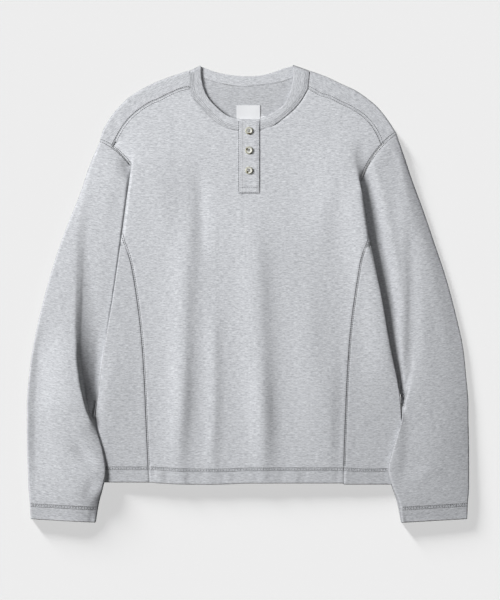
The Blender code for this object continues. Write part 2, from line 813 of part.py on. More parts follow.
make_front(material("jersey_front", (0.58, 0.59, 0.61), 0.9))
make_back(material("jersey_back", (0.48, 0.49, 0.51), 0.9))
for shirt_side in SIGN:
    make_side(shirt_side, material("jersey_side_" + shirt_side, (0.55, 0.56, 0.58), 0.9))
    make_sleeve(shirt_side, material("jersey_sleeve_" + shirt_side, (0.56, 0.57, 0.59), 0.9))
make_neckband(material("jersey_band", (0.52, 0.53, 0.55), 0.9))
make_placket(material("jersey_placket", (0.54, 0.55, 0.57), 0.9))
for button_number, button_down in enumerate(BUTTON_DOWNS, 1):
    make_button(button_number, button_down, material("button_%d" % button_number, (0.42, 0.38, 0.28), 0.3))
white = material("label_white", (0.9, 0.9, 0.9), 0.7)
make_label("neck_label", LABEL_MIDDLE, LABEL_SIZE, white)
make_label("size_tab", TAB_MIDDLE, TAB_SIZE, white)
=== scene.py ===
import math

import bmesh
import bpy
import numpy as np
from mathutils import Matrix, Vector
from mathutils.bvhtree import BVHTree


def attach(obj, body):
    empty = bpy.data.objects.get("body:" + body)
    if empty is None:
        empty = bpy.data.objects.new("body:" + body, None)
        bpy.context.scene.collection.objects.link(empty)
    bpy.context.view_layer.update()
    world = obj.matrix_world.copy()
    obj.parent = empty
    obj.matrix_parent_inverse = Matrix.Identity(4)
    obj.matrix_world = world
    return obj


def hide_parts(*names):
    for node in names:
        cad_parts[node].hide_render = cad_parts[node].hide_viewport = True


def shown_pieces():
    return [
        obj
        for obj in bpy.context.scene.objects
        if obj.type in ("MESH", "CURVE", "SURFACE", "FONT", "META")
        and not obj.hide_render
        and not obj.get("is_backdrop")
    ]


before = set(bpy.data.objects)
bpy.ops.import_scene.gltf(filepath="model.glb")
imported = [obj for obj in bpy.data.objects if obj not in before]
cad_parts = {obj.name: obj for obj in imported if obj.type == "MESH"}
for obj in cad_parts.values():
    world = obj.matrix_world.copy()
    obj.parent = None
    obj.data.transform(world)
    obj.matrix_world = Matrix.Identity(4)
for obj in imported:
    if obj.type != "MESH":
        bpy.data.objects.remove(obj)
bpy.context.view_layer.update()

# Lengths in the tables are millimetres. "down" runs from the highest shoulder point to the hem,
# and x is the distance from the body's middle line, on either side.
mm = 0.001
topY = 371.2
middleX = 1.0
sideSign = {"left": -1, "right": 1}

cloth = {
    "wall": 1.4,                    # one layer of jersey
    "pale": (0.765, 0.78, 0.81),    # its lighter and darker fibres
    "dark": (0.44, 0.452, 0.478),
    "steep": 0.52,                  # painted shade: share of its colour that a steep face keeps; 1 turns it off
    "paintedShadeFacing": (0.78, 0.98),    # upward part of its facing where that painted shade is full and where it ends
    "sheen": 0.12,
}
thread = {
    "pitch": 3.3, "length": 2.9, "width": 1.05, "height": 0.6,      # of the seams' stitches
    "dark": (0.075, 0.078, 0.085), "mid": (0.19, 0.195, 0.205), "pale": (0.30, 0.31, 0.33),
}


def columns(names, *rows):
    return dict(zip(names.split(), np.array(rows, float).T))


def smoothCurve(xs, ys):
    # A curve through the table's rows that never swings past them.
    xs, ys = np.asarray(xs, float), np.asarray(ys, float)
    steps = np.diff(xs)
    rises = np.diff(ys) / steps
    before = np.concatenate((rises[:1], rises))
    after = np.concatenate((rises, rises[-1:]))
    both = before + after
    slopes = np.where(before * after > 0, 2 * before * after / np.where(both == 0, 1, both), 0)

    def read(at):
        at = np.clip(at, xs[0], xs[-1])
        i = np.clip(np.searchsorted(xs, at) - 1, 0, len(steps) - 1)
        f = (at - xs[i]) / steps[i]
        start = ys[i] * (1 + 2 * f) * (1 - f) ** 2 + slopes[i] * steps[i] * f * (1 - f) ** 2
        return start + ys[i + 1] * (3 - 2 * f) * f ** 2 + slopes[i + 1] * steps[i] * (f - 1) * f ** 2

    return read


def curvesOf(table, key):
    return {name: smoothCurve(table[key], values) for name, values in table.items()}


def ease(x):
    x = np.clip(x, 0, 1)
    return x * x * (3 - 2 * x)


def mix(a, b, share):
    return a + (b - a) * share


def ripple(along, seed):
    # Uneven waves along a seam, from -1 to 1.
    waves = ((9.3, 0.5), (13.7, 0.3), (5.9, 0.25), (27.0, 0.3))
    return sum(size * np.sin(along * 2 * math.pi / period + seed * (2.1 + n)) for n,
               (period, size) in enumerate(waves))


# Form of the body, the same as the solids'.

body = curvesOf(columns(
    "down left right leftTop rightTop turn",
    (106, 189, 170, 8.3, 8.3, 2.8), (131, 190, 172, 9.1, 9.6, 2.8), (163, 191, 176, 11.1, 11.2, 2.8),
    (220, 198, 185, 12.2, 11.4, 2.8), (278, 206, 195, 12.2, 11.2, 2.8), (382, 221, 216, 12.2, 11.0, 2.8),
    (446, 232, 227, 12.0, 10.9, 2.7), (511, 241, 240, 11.2, 10.4, 2.6), (543, 245, 245, 9.8, 9.4, 2.4),
    (576, 250, 247, 8.2, 8.0, 2.2), (616, 256, 249, 6.9, 6.9, 2.0), (677, 259, 251, 6.2, 6.2, 1.9)), "down")
# Height of the top layer across the body, in signed x: below the placket and at the hem.
acrossBelly = smoothCurve((-240, -150, -60, 0, 60, 120, 180, 240),
                          (11.8, 11.8, 11.2, 10.8, 10.2, 9.6, 9.4, 10.4))
acrossHem = smoothCurve((-250, -150, 0, 150, 250), (6.4, 7.6, 7.8, 7.2, 6.2))
middle = curvesOf(columns(
    "down height", (38, 7.9), (108, 8.3), (170, 7.8), (250, 7.4), (677, 7.2)), "down")["height"]
sideSeam = curvesOf(columns(
    "down left right",
    (278, 206, 196), (296, 198, 188), (317, 191, 181), (341, 186, 177), (373, 181, 172),
    (438, 173, 164), (511, 168, 159), (584, 165, 156), (677, 161, 153)), "down")
backSeam = {"left": smoothCurve((284, 677), (160, 161)), "right": smoothCurve((284, 677), (160, 154))}
hemLine = smoothCurve((-259, -161, -105, -55, 6, 146, 193, 251),
                      (676, 676, 679, 679.5, 677.5, 677.5, 679.5, 676.5))
frontNeck = {
    "left": smoothCurve((0, 19, 34, 47, 60, 70, 79, 91, 95, 96),
                        (108.5, 107.5, 104, 98, 88, 78, 67, 53, 44, 38)),
    "right": smoothCurve((0, 15, 26, 42, 58, 73, 86, 92, 95, 96),
                         (108.5, 108, 104.5, 99, 87, 74, 58, 47, 42, 38)),
}
shoulder = {
    "left": curvesOf(columns(
        "seamX seamDown edgeX edgeDown",
        (96, 38, 96, 10), (112, 42, 123, 19), (128, 49, 150, 29), (144, 57, 174, 41), (160, 64, 193, 53),
        (177, 75, 209, 68), (193, 89, 221, 82), (204, 103, 230, 96), (212, 117, 237, 109),
        (221, 134, 241, 124)), "seamX"),
    "right": curvesOf(columns(
        "seamX seamDown edgeX edgeDown",
        (96, 38, 99, 11), (115, 49, 126, 21), (131, 54, 149, 32), (147, 62, 171, 42), (164, 70, 189, 54),
        (180, 80, 205, 67), (196, 95, 219, 83), (208, 113, 232, 102), (215, 130, 238, 112)), "seamX"),
}
shoulderEnd = {"left": (221, 134), "right": (215, 130)}
shoulderStart = 96
backNeck = {
    "left": smoothCurve((0, 31, 47, 60, 73, 84, 96), (35, 34, 30, 26, 22, 17.5, 10)),
    "right": smoothCurve((0, 34, 53, 66, 84, 99), (35, 31, 28, 23, 18.5, 11)),
}
armhole = {
    "left": {"shoulder": (241, 124), "underarm": (160, 284), "bow": 28},
    "right": {"shoulder": (238, 112), "underarm": (160, 284), "bow": 22},
}
armholeHeight = {
    "left": smoothCurve((112, 131, 147, 163, 284), (7.9, 7.9, 7.3, 6.2, 6.2)),
    "right": smoothCurve((112, 131, 160, 182, 284), (7.9, 7.9, 7.3, 6.2, 6.2)),
}
lastArmhole = 275.0
seamFrom = 297.0
low = cloth["wall"] / 2     # middle of the layer that lies on the surface
foldIn = 0.9                # how far a side fold's curve reaches in from the edge


def armholePoints(side, shares):
    line = armhole[side]
    start = np.array(line["shoulder"], float)
    run = np.array(line["underarm"], float) - start
    across = np.array((-run[1], run[0])) / np.hypot(*run)
    bow = line["bow"] * np.sin(math.pi * shares ** 0.8)
    return start + shares[:, None] * run + bow[:, None] * across


armholeLine = {side: armholePoints(side, np.linspace(0, 1, 201)) for side in sideSign}


def armholeX(side, down):
    return np.interp(down, armholeLine[side][:, 1], armholeLine[side][:, 0])


def bodyFold(side, down):
    # Where the side fold starts, the height of the top layer there and the fold's radius.
    turn = body["turn"](down)
    return body[side](down) - low - turn, body[side + "Top"](down), turn


def topHeight(side, x, down):
    start, top, _ = bodyFold(side, down)
    above = mix(middle(down), top, ease((x / start - 0.35) / 0.65))
    at = sideSign[side] * x
    below = mix(acrossBelly(at), acrossHem(at), ease((down - 500) / 177))
    below = mix(below, top, ease((x / start - 0.7) / 0.3))
    return mix(above, below, ease((down - 190) / 120))


def wrap(side, down):
    # Angle turned round the side fold and the straight length after it, down to the armhole.
    start, top, turn = bodyFold(side, down)
    fromDown = np.maximum(down, shoulderEnd[side][1])
    x = armholeX(side, fromDown)
    foldStart, foldTop, foldTurn = bodyFold(side, fromDown)
    height = armholeHeight[side](fromDown)
    height = np.where(x < foldStart + foldTurn, np.minimum(height, foldTop - 2 * foldTurn), height)
    dx, dz = x - start, height - (top - turn)
    length = np.sqrt(np.maximum(dx * dx + dz * dz - turn * turn, 0))
    return (np.arctan2(turn, length) - np.arctan2(dz, dx)) % (2 * math.pi), length


def seamReach(side, down):
    x = sideSeam[side](down)
    start, _, turn = bodyFold(side, down)
    return np.where(x < start, x, start + turn * np.arcsin(np.clip((x - start) / turn, -1, 1)))


def frontReach(side, down):
    start, _, turn = bodyFold(side, down)
    angle, length = wrap(side, np.minimum(down, lastArmhole))
    whole = start + turn * angle + length
    share = (down - lastArmhole) / (seamFrom - lastArmhole)
    between = mix(whole, seamReach(side, np.full_like(down, seamFrom)), np.clip(share, 0, 1))
    return np.where(down >= seamFrom, seamReach(side, down), between)


def tighten(x, bend, start, turn):
    # Moves the cloth towards the outer edge of a fold, so that the fold is narrower than it is high.
    spare = turn - foldIn
    before = spare * ease((x - start + 25) / 25) * (bend <= 0)
    over = spare * (1 - np.sin(bend)) * (1 - ease(2 * bend / math.pi - 1)) * (bend > 0)
    return x + before + over


def frontPoint(side, reach, down):
    start, top, turn = bodyFold(side, down)
    angle = wrap(side, np.minimum(down, lastArmhole))[0]
    bend = np.clip((reach - start) / turn, 0, angle)
    tail = np.maximum(reach - start - turn * bend, 0)
    x = start + turn * np.sin(bend) + tail * np.cos(bend)
    z = top - turn * (1 - np.cos(bend)) - tail * np.sin(bend)
    flat = reach <= start
    x = tighten(np.where(flat, reach, x), bend, start, turn * ease(angle / 2))
    return x, np.where(flat, topHeight(side, reach, down), z)


# Creases, seams and hems as relief on the form.

def nearest(x, down, line):
    # Signed distance to a line of points, positive on its right going down, and the place along it.
    line = np.asarray(line, float)
    steps = np.diff(line, axis=0)
    lengths = np.hypot(*steps.T)
    starts = np.concatenate(((0,), np.cumsum(lengths)))
    best = np.full(x.shape, np.inf)
    signed, along = np.zeros(x.shape), np.zeros(x.shape)
    for (ax, ay), (vx, vy), length, begin in zip(line, steps, lengths, starts):
        t = np.clip(((x - ax) * vx + (down - ay) * vy) / length ** 2, 0, 1)
        dx, dy = x - ax - t * vx, down - ay - t * vy
        far = np.hypot(dx, dy)
        closer = far < best
        best = np.where(closer, far, best)
        signed = np.where(closer, np.where(vy * dx - vx * dy >= 0, far, -far), signed)
        along = np.where(closer, begin + t * length, along)
    return signed, along, starts[-1]


def creaseRelief(x, down, creases):
    # Soft ridges and troughs: rise, its spread on the left and right, and how it fades at its ends.
    total = np.zeros(x.shape)
    for rise, left, right, fade, line in creases:
        away, along, length = nearest(x, down, line)
        spread = np.where(away > 0, right, left)
        ends = ease(along / (fade * length)) * ease((length - along) / (fade * length))
        total += rise * np.exp(-(away / spread) ** 2) * ends
    return total


def seamRelief(x, down, line, seed, groove=0.45, ridge=0.22, pucker=0.16):
    # A groove along a seam between two soft ridges that pucker.
    away, along, _ = nearest(x, down, line)
    away = np.abs(away)
    soft = np.exp(-((away - 4.0) / 4.5) ** 2) * (ridge + pucker * ripple(along, seed))
    return soft - groove * np.exp(-(away / 1.6) ** 2)


bodyCreases = (
    # rise, left, right, fade, line in signed x and down
    (2.6, 22, 14, 0.35, ((-94, 180), (-99, 300), (-104, 400), (-107, 540), (-113, 620), (-114, 710))),
    (1.6, 16, 13, 0.45, ((-103, 400), (-108, 540), (-113, 640), (-114, 720))),
    (1.8, 11, 10, 0.35, ((-57, 360), (-55, 540), (-59, 620), (-63, 710))),
    (3.2, 28, 17, 0.35, ((4, 200), (14, 330), (19, 460), (21, 600), (22, 710))),
    (2.2, 17, 16, 0.45, ((20, 440), (24, 600), (25, 720))),
    (3.0, 30, 6, 0.22, ((174, 160), (180, 220), (192, 300), (211, 381), (224, 462), (237, 540))),
    (1.8, 26, 24, 0.4, ((95, 300), (99, 460), (102, 540), (97, 620), (97, 700))),
    (2.0, 24, 14, 0.45, ((132, 420), (130, 560), (128, 710))),
    (-1.6, 10, 12, 0.4, ((-80, 150), (-78, 260), (-74, 340))),
    (1.2, 24, 16, 0.5, ((140, 150), (120, 250), (112, 330))),
    (1.0, 18, 24, 0.5, ((-150, 150), (-140, 230), (-128, 320))),
    (2.2, 10, 34, 0.4, ((-214, 430), (-228, 520), (-246, 640), (-250, 700))),
    (0.9, 9, 9, 0.5, ((-150, 640), (-146, 660), (-144, 700))),
    (0.7, 7, 7, 0.5, ((-108, 645), (-106, 662), (-106, 700))),
    (0.8, 9, 8, 0.5, ((70, 640), (72, 662), (73, 700))),
    (-1.8, 9, 9, 0.5, ((-222, 122), (-219, 130), (-216, 138))),
    (-1.6, 12, 12, 0.45, ((182, 120), (180, 150), (184, 184))),
)
sideSeamLine = {side: [(sideSign[side] * (float(body[side](274)) - 0.5), 274.0)] + [
    (sideSign[side] * float(sideSeam[side](d)), d) for d in np.linspace(287, 690, 42)] for side in sideSign}
shoulderLine = {side: [(sideSign[side] * x, float(shoulder[side]["seamDown"](x)))
                       for x in np.linspace(shoulderStart, shoulderEnd[side][0], 24)] for side in sideSign}
neckLine = [(-x, float(frontNeck["left"](x))) for x in (96, 95, 91, 85, 79, 70, 60, 47, 34, 19)] + [
    (x, float(frontNeck["right"](x))) for x in (0, 15, 26, 42, 58, 73, 82, 88, 92, 95, 96)]
hem = {"turn": 0.8, "depth": 20.0, "rows": (20.5, 25.0)}


def bodyRelief(side, x, down):
    # Relief of the body's top layer at a distance x from its middle.
    at = sideSign[side] * x
    total = creaseRelief(at, down, bodyCreases)
    total += seamRelief(at, down, sideSeamLine[side], 1.0 + sideSign[side])
    total += 0.6 * seamRelief(at, down, shoulderLine[side], 4.0 + sideSign[side])
    total += 0.5 * seamRelief(at, down, neckLine, 8.0, groove=0.9)
    up = hemLine(at) - down             # distance above the hem
    total -= 1.7 * ease((25 - up) / 25)
    total += 0.3 * ripple(at * 0.5, 3.0) * np.exp(-((up - 9) / 9) ** 2)
    total -= 0.3 * np.exp(-((up - 22.5) / 3.2) ** 2)
    return total


def topMask(side, reach, down):
    # 1 where the cloth faces up, 0 once it has turned over the side fold.
    start, _, turn = bodyFold(side, down)
    angle = wrap(side, np.minimum(down, lastArmhole))[0]
    whole = np.where(down < seamFrom, angle, math.pi)
    return ease(np.cos(np.clip((reach - start) / turn, 0, np.minimum(whole, math.pi / 2))) * 1.2)


# Meshes.

threadBelow = 0.43      # the cloth lies on the stitches of its underside


def toWorld(x, down, height):
    return np.stack(((x + middleX) * mm, (topY - down) * mm, (height + threadBelow) * mm), axis=-1)


def sheetMesh(name, points, uv, spare=None, close=False):
    # A grid of rows by columns bent onto these points, with a UV map in metres along the cloth.
    rows, cols = points.shape[0] - 1, points.shape[1] - 1
    grid = bmesh.new()
    bmesh.ops.create_grid(grid, x_segments=cols, y_segments=rows, size=0.5)
    mesh = bpy.data.meshes.new(name)
    grid.to_mesh(mesh)
    grid.free()
    flat = np.empty(len(mesh.vertices) * 3, np.float32)
    mesh.vertices.foreach_get("co", flat)
    flat = flat.reshape(-1, 3)
    col = np.rint((flat[:, 0] + 0.5) * cols).astype(int)
    row = np.rint((0.5 - flat[:, 1]) * rows).astype(int)
    mesh.vertices.foreach_set("co", points[row, col].astype(np.float32).ravel())
    corner = np.empty(len(mesh.loops), np.int32)
    mesh.loops.foreach_get("vertex_index", corner)
    layer = mesh.uv_layers.new(name="cloth")
    layer.data.foreach_set("uv", uv[row, col][corner].astype(np.float32).ravel())
    mesh.shade_smooth()
    grid = bmesh.new()
    grid.from_mesh(mesh)
    grid.faces.ensure_lookup_table()
    if spare is not None:
        gone = [f for f in grid.faces if spare(rows - 1 - f.index // cols, f.index % cols)]
        bmesh.ops.delete(grid, geom=gone, context="FACES")
    if close:
        bmesh.ops.remove_doubles(grid, verts=grid.verts, dist=1e-6)
    for edge in grid.edges:
        edge.smooth = not edge.is_boundary      # a cut edge stays crisp once it has its wall
    grid.to_mesh(mesh)
    grid.free()
    return link(name, mesh)


def link(name, data):
    piece = bpy.data.objects.new(name, data)
    bpy.context.scene.collection.objects.link(piece)
    return piece


def addWall(piece, wall):
    solidify = piece.modifiers.new("wall", "SOLIDIFY")
    solidify.material_offset = 1
    solidify.thickness = wall * mm
    solidify.offset = 0
    return piece


def planUv(points, angle=0.0):
    # The cloth's own directions where it lies flat: courses across, wales down, turned by an angle.
    turn = math.radians(angle)
    x, y = points[..., 0], -points[..., 1]
    return np.stack((x * math.cos(turn) + y * math.sin(turn), y * math.cos(turn) - x * math.sin(turn)),
                    axis=-1)


def layUv(points):
    # Lengths along the rows and columns of the points, measured on the cloth.
    across = np.linalg.norm(np.diff(points, axis=1), axis=2)
    down = np.linalg.norm(np.diff(points, axis=0), axis=2)
    u = np.concatenate((np.zeros((points.shape[0], 1)), np.cumsum(across, axis=1)), axis=1)
    v = np.concatenate((np.zeros((1, points.shape[1])), np.cumsum(down, axis=0)), axis=0)
    u -= u[:, u.shape[1] // 2][:, None]
    return np.stack((u, v), axis=-1)


# share of the turn, share of the depth
underHem = np.array([(0.35, 0), (0.7, 0), (1, 0), (1, 0.12), (1, 0.45), (1, 1)])


def turnUnder():
    # Rows that turn a hem under: how far each stands short of the edge and how much deeper it is.
    r = hem["turn"]
    bend = underHem[:, 0] * math.pi
    return r - r * np.sin(bend) + underHem[:, 1] * hem["depth"], r * (1 - np.cos(bend))


def addHem(x, down, z, hemDown, inside=1):
    # The same rows with the hem turned under after them.
    short, deeper = turnUnder()
    under = hemDown - short[:, None] + np.zeros(x.shape[1])
    return (np.concatenate((x, np.repeat(x[-1:], len(short), axis=0))), np.concatenate((down, under)),
            np.concatenate((z, z[-1:] - deeper[:, None] * inside)))


def joinHalves(left, right):
    # One grid of points from the left and right halves, which share their middle column.
    return toWorld(*(np.concatenate((a[:, ::-1], b[:, 1:]), axis=1) for a, b in zip(left, right)))


# Front.

# neck seam to the chest
upperShares = np.concatenate(((0, 0.012, 0.03, 0.06, 0.1), np.linspace(0.15, 1, 13)))
chest = 142
seamRows = np.concatenate((np.arange(285, 300, 2.5), np.arange(304, 640, 5.0)))
# closer at its rows
hemShares = np.array((0.12, 0.25, 0.37, 0.44, 0.5, 0.56, 0.64, 0.74, 0.84, 0.93, 0.98))
flatShares = {}
for side in sideSign:
    knee = float(bodyFold(side, np.array([40.0]))[0][0])
    column = round(43 * shoulderStart / knee)       # one column meets the end of the neck seam
    flatShares[side] = np.interp(np.arange(44), (0, column, 43), (0, (shoulderStart + 0.1) / knee, 1))


def frontColumns(side, down):
    # Reach of every column at these downs: even steps to the side fold, then round it to the seam.
    start = bodyFold(side, down)[0]
    end = frontReach(side, down)
    knee = np.minimum(start, 0.93 * end)
    flat = knee[..., None] * flatShares[side]
    last = (end - knee)[..., None]
    tailShares = np.array((0.08, 0.17, 0.27, 0.38, 0.5, 0.62, 0.74, 0.84, 0.92, 0.97, 1.0))
    return np.concatenate((flat, knee[..., None] + last * tailShares), axis=-1)


def frontTop(side, x):
    neck = frontNeck[side](np.minimum(x, shoulderStart))
    return np.where(x <= shoulderStart, neck, shoulder[side]["seamDown"](x))


def columnTops(side):
    # Where each column of the front meets the neck or shoulder seam.
    count = frontColumns(side, np.array([200.0])).shape[-1]
    down = np.full(count, 96.0)
    for _ in range(10):
        reach = frontColumns(side, down)[np.arange(count), np.arange(count)]
        x = frontPoint(side, reach, down)[0]
        down = frontTop(side, x)
    return x, down


def frontHalf(side):
    topX, topDown = columnTops(side)
    hemDown = hemLine(sideSign[side] * topX * 0.75)
    rows = [topDown + 0.4 + (chest - topDown) * share for share in upperShares]
    rows += [np.full(topDown.shape, d) for d in (*np.arange(147, 283, 4.6), *seamRows)]
    rows += [mix(rows[-1], hemDown, share) for share in hemShares]
    down = np.array(rows)
    reach = np.stack([frontColumns(side, down[:, c])[:, c] for c in range(down.shape[1])], axis=1)
    x, z = frontPoint(side, reach, down)
    z = z + bodyRelief(side, x, down) * topMask(side, reach, down)
    x, down, z = addHem(x, down, z, hemDown)
    return x * sideSign[side], down, z


def makeFront():
    points = joinHalves(frontHalf("left"), frontHalf("right"))
    return addWall(sheetMesh("frontPanel", points, planUv(points)), cloth["wall"])


# Side panels.

def sleeveInnerX(side, down):
    return np.interp(down, sleeve[side]["innerDown"], sleeve[side]["innerX"])


def sidePoint(side, reach, down):
    start, top, turn = bodyFold(side, down)
    bend = np.clip((reach - start) / turn, 0, math.pi)
    x = tighten(np.where(reach <= start, reach, start + turn * np.sin(bend)), bend, start, turn)
    z = np.where(reach <= start, topHeight(side, np.minimum(reach, start), down),
                 top - turn * (1 - np.cos(bend)))
    under = reach > start + turn * math.pi
    backX = start - (reach - start - turn * math.pi)
    level = top - 2 * turn
    seam = backSeam[side](down)
    clear = sleeveInnerX(side, down) - 1.6
    floor = mix(level, low, ease((down - 280) / 26))
    height = mix(floor, level, ease((backX - seam) / np.maximum(clear - seam, 1)))
    return np.where(under, backX, x), np.where(under, height, z)


# Steps from the front seam to the side fold: closer at the seam, which puckers.
sideShares = np.array((0, 0.012, 0.03, 0.06, 0.1, 0.15, 0.22, 0.3, 0.38, 0.46, 0.55, 0.64, 0.73, 0.82,
                       0.91))


def makeSide(side):
    hemDown = float(hemLine(sideSign[side] * 200.0))
    rows = np.concatenate((seamRows, mix(seamRows[-1], hemDown, hemShares)))
    start, _, turn = bodyFold(side, rows)
    front = frontReach(side, rows) + 0.5
    before = np.maximum(start - 2, front + 1)
    after = np.maximum(start + turn * math.pi + 2, front + 2)
    back = start + turn * math.pi + start - backSeam[side](rows) - 0.3
    reach = np.concatenate((
        front[:, None] + (before - front)[:, None] * sideShares,
        before[:, None] + (after - before)[:, None] * np.linspace(0, 1, 11)[:-1],
        after[:, None] + (back - after)[:, None] * np.linspace(0, 1, 14)), axis=1)
    down = np.repeat(rows[:, None], reach.shape[1], axis=1)
    x, z = sidePoint(side, reach, down)
    z = z + bodyRelief(side, x, down) * topMask(side, reach, down)
    inside = np.sign(0.5 - np.clip((reach[-1] - start[-1]) / (turn[-1] * math.pi), 0, 1))
    x, down, z = addHem(x, down, z, hemDown, inside)
    points = toWorld(x * sideSign[side], down, z)
    if side == "left":
        points = points[:, ::-1]
    return addWall(sheetMesh(side + "SidePanel", points, planUv(points)), cloth["wall"])


# Back, with its shoulders folded over to the forward seams.

back = {"turn": 3.6, "turnIn": 0.5}


def foldLine(side, seamX):
    # The fold above each point of the shoulder seam, and the way in from it.
    rows = shoulder[side]
    ends = shoulderStart, shoulderEnd[side][0]
    edge = lambda at: np.stack((rows["edgeX"](at), rows["edgeDown"](at)), axis=-1)
    along = edge(np.minimum(seamX + 2, ends[1])) - edge(np.maximum(seamX - 2, ends[0]))
    along /= np.hypot(along[:, 0], along[:, 1])[:, None]
    inward = np.stack((-along[:, 1], along[:, 0]), axis=-1)
    return edge(seamX) + inward * low, inward


def neckLift(x, down):
    # How far the back rises inside the neck opening.
    return 2.8 * (1 - ease((np.abs(x) - 76) / 22)) * (1 - ease((down - 45) / 75))


def backHalf(side):
    r, inTurn = back["turn"], back["turnIn"]
    neckX = np.linspace(0, 84, 18)
    seamX = np.linspace(shoulderStart, shoulderEnd[side][0], 34)
    seam = np.stack((seamX, shoulder[side]["seamDown"](seamX)), axis=-1)
    fold, inward = foldLine(side, seamX)
    rows = []
    level = low + 2 * r
    signed = sideSign[side]
    for step in np.array((0, 0.02, 0.05, 0.1, 0.16, 0.25, 0.36, 0.5, 0.64, 0.78, 0.9, 1.0)):
        at = mix(seam, fold + inward * inTurn, step)
        z = level + 0.6 * seamRelief(at[:, 0] * signed, at[:, 1], shoulderLine[side],
                                     5.0 + signed) * (1 - step)
        z += 0.5 * seamRelief(at[:, 0] * signed, at[:, 1], [(signed * a, b) for a,
                                                            b in armholeLine[side][:40:3]], 6.0)
        rows.append((at[:, 0], at[:, 1], z))
    for bend in np.linspace(0, math.pi, 9)[1:]:
        at = fold + inward * inTurn * (1 - math.sin(bend))
        rows.append((at[:, 0], at[:, 1], np.full(len(at), low + r * (1 + math.cos(bend)))))
    tip = rows[-1][0][-1], rows[-1][1][-1]
    topX = np.concatenate((neckX, rows[-1][0]))
    topDown = np.concatenate((backNeck[side](neckX) + 0.3, rows[-1][1]))
    turned = len(rows) - 1
    full = [tuple(np.concatenate((np.full(len(neckX), part[0]), part)) for part in row) for row in rows]
    full[-1] = (topX, topDown, np.full(len(topX), low))
    hemDown = hemLine(signed * topX * 0.66) - 1
    downs = [mix(topDown, chest, share) for share in np.linspace(0, 1, 16)[1:]]
    downs += [np.full(len(topX), d) for d in (*np.arange(147, 285, 5.0), 285, *np.arange(294, 640, 9.0))]
    downs += [mix(downs[-1], hemDown, share) for share in (0.25, 0.5, 0.75, 1.0)]
    for down in downs:
        edgeX = np.where(down < 284, armholeX(side, down), backSeam[side](down))
        x = np.where(down > tip[1] + 1, topX * edgeX / tip[0], topX)
        full.append((x, down, np.full(len(x), low)))
    for short, rise in zip(*turnUnder()):
        full.append((full[-1][0], hemDown - short, np.full(len(topX), low) + rise))
    x, down, z = (np.array([row[i] for row in full]) for i in range(3))
    z[turned:] += neckLift(x, down)[turned:]
    return x * signed, down, z, len(neckX), turned


def makeBack():
    left, right = backHalf("left"), backHalf("right")
    neck, turned = left[3:]
    points = joinHalves(left[:3], right[:3])
    half = left[0].shape[1] - 1
    uv = planUv(points)
    for flap, angle in ((slice(0, half), -30), (slice(half, None), 30)):
        uv[:turned, flap] = planUv(points[:turned, flap], angle)
    spare = lambda row, col: row < turned and abs(col + 0.5 - half) < neck
    return addWall(sheetMesh("backPanel", points, uv, spare), cloth["wall"])


# Sleeves.

# Both edges of each sleeve going down, and how far its lower layer is lifted by the body's side.
sleeve = {
    "left": columns(
        "outerX outerDown innerX innerDown lift",
        (241, 124, 161, 282.5, 0), (258, 164, 167, 294, 0), (275, 215, 178, 313, 0),
        (295, 265, 185, 341, 0), (313, 317, 193, 377, 0), (329, 373, 202, 422, 0), (342, 427, 215, 471, 0),
        (352, 482, 228, 513, 0), (356, 519, 243, 537, 0), (358, 548, 246.6, 553, 4.0),
        (358, 573, 249, 573, 8.8), (358, 620, 235, 628, 8.2), (357, 657, 231, 657, 8.0),
        (356, 683, 236, 684, 7.6), (354, 708, 243, 711, 1.2), (353, 735, 248, 741, 0)),
    "right": columns(
        "outerX outerDown innerX innerDown lift",
        (238.6, 112.4, 161, 282.5, 0), (251, 148, 167, 294, 0), (264, 187, 178, 313, 0),
        (282, 236, 185, 341, 0), (300, 289, 193, 377, 0), (319, 346, 206, 422, 0), (335, 406, 219, 471, 0),
        (347, 462, 232, 513, 0), (352, 511, 246, 537, 0), (355, 547, 246.4, 551, 4.0),
        (355, 569, 247, 569, 8.6), (356, 620, 231, 624, 8.2), (356, 654, 224, 654, 8.0),
        (356, 683, 231, 682, 7.6), (354, 709, 240, 710, 1.2), (353, 735, 246, 741, 0)),
}
# How high it stands where it leaves the armhole, at these shares of its width.
sleeveStart = {
    "left": columns(
        "ridge ridgeHeight crease creaseHeight crest crestHeight lap lapHeight",
        (0.08, 7.9, 0.14, 7.6, 0.20, 6.8, 0.32, 4.3), (0.12, 10.2, 0.18, 9.8, 0.25, 8.4, 0.38, 4.2),
        (0.14, 11.4, 0.22, 10.8, 0.34, 10.0, 0.56, 4.2)),
    "right": columns(
        "ridge ridgeHeight crease creaseHeight crest crestHeight lap lapHeight",
        (0.08, 7.9, 0.16, 7.6, 0.26, 6.8, 0.40, 4.3), (0.13, 10.2, 0.26, 9.4, 0.38, 9.0, 0.60, 4.2),
        (0.12, 11.2, 0.27, 9.6, 0.43, 10.6, 0.72, 4.3)),
}
sleeveFold = {"outerIn": 0.4, "innerIn": 0.15,
              "inner": {"left": smoothCurve((112, 540, 600, 740), (0.9, 0.9, 1.1, 0.9)),
                        "right": smoothCurve((112, 540, 600, 683, 709, 735),
                                             (0.9, 0.9, 1.6, 1.5, 2.0, 2.5))},
              "lift": (0.44, 0.72),     # shares of the width between which the lower layer rises
              "lapEnd": (535, 30)}      # where the lap beside the body starts to end, and its length
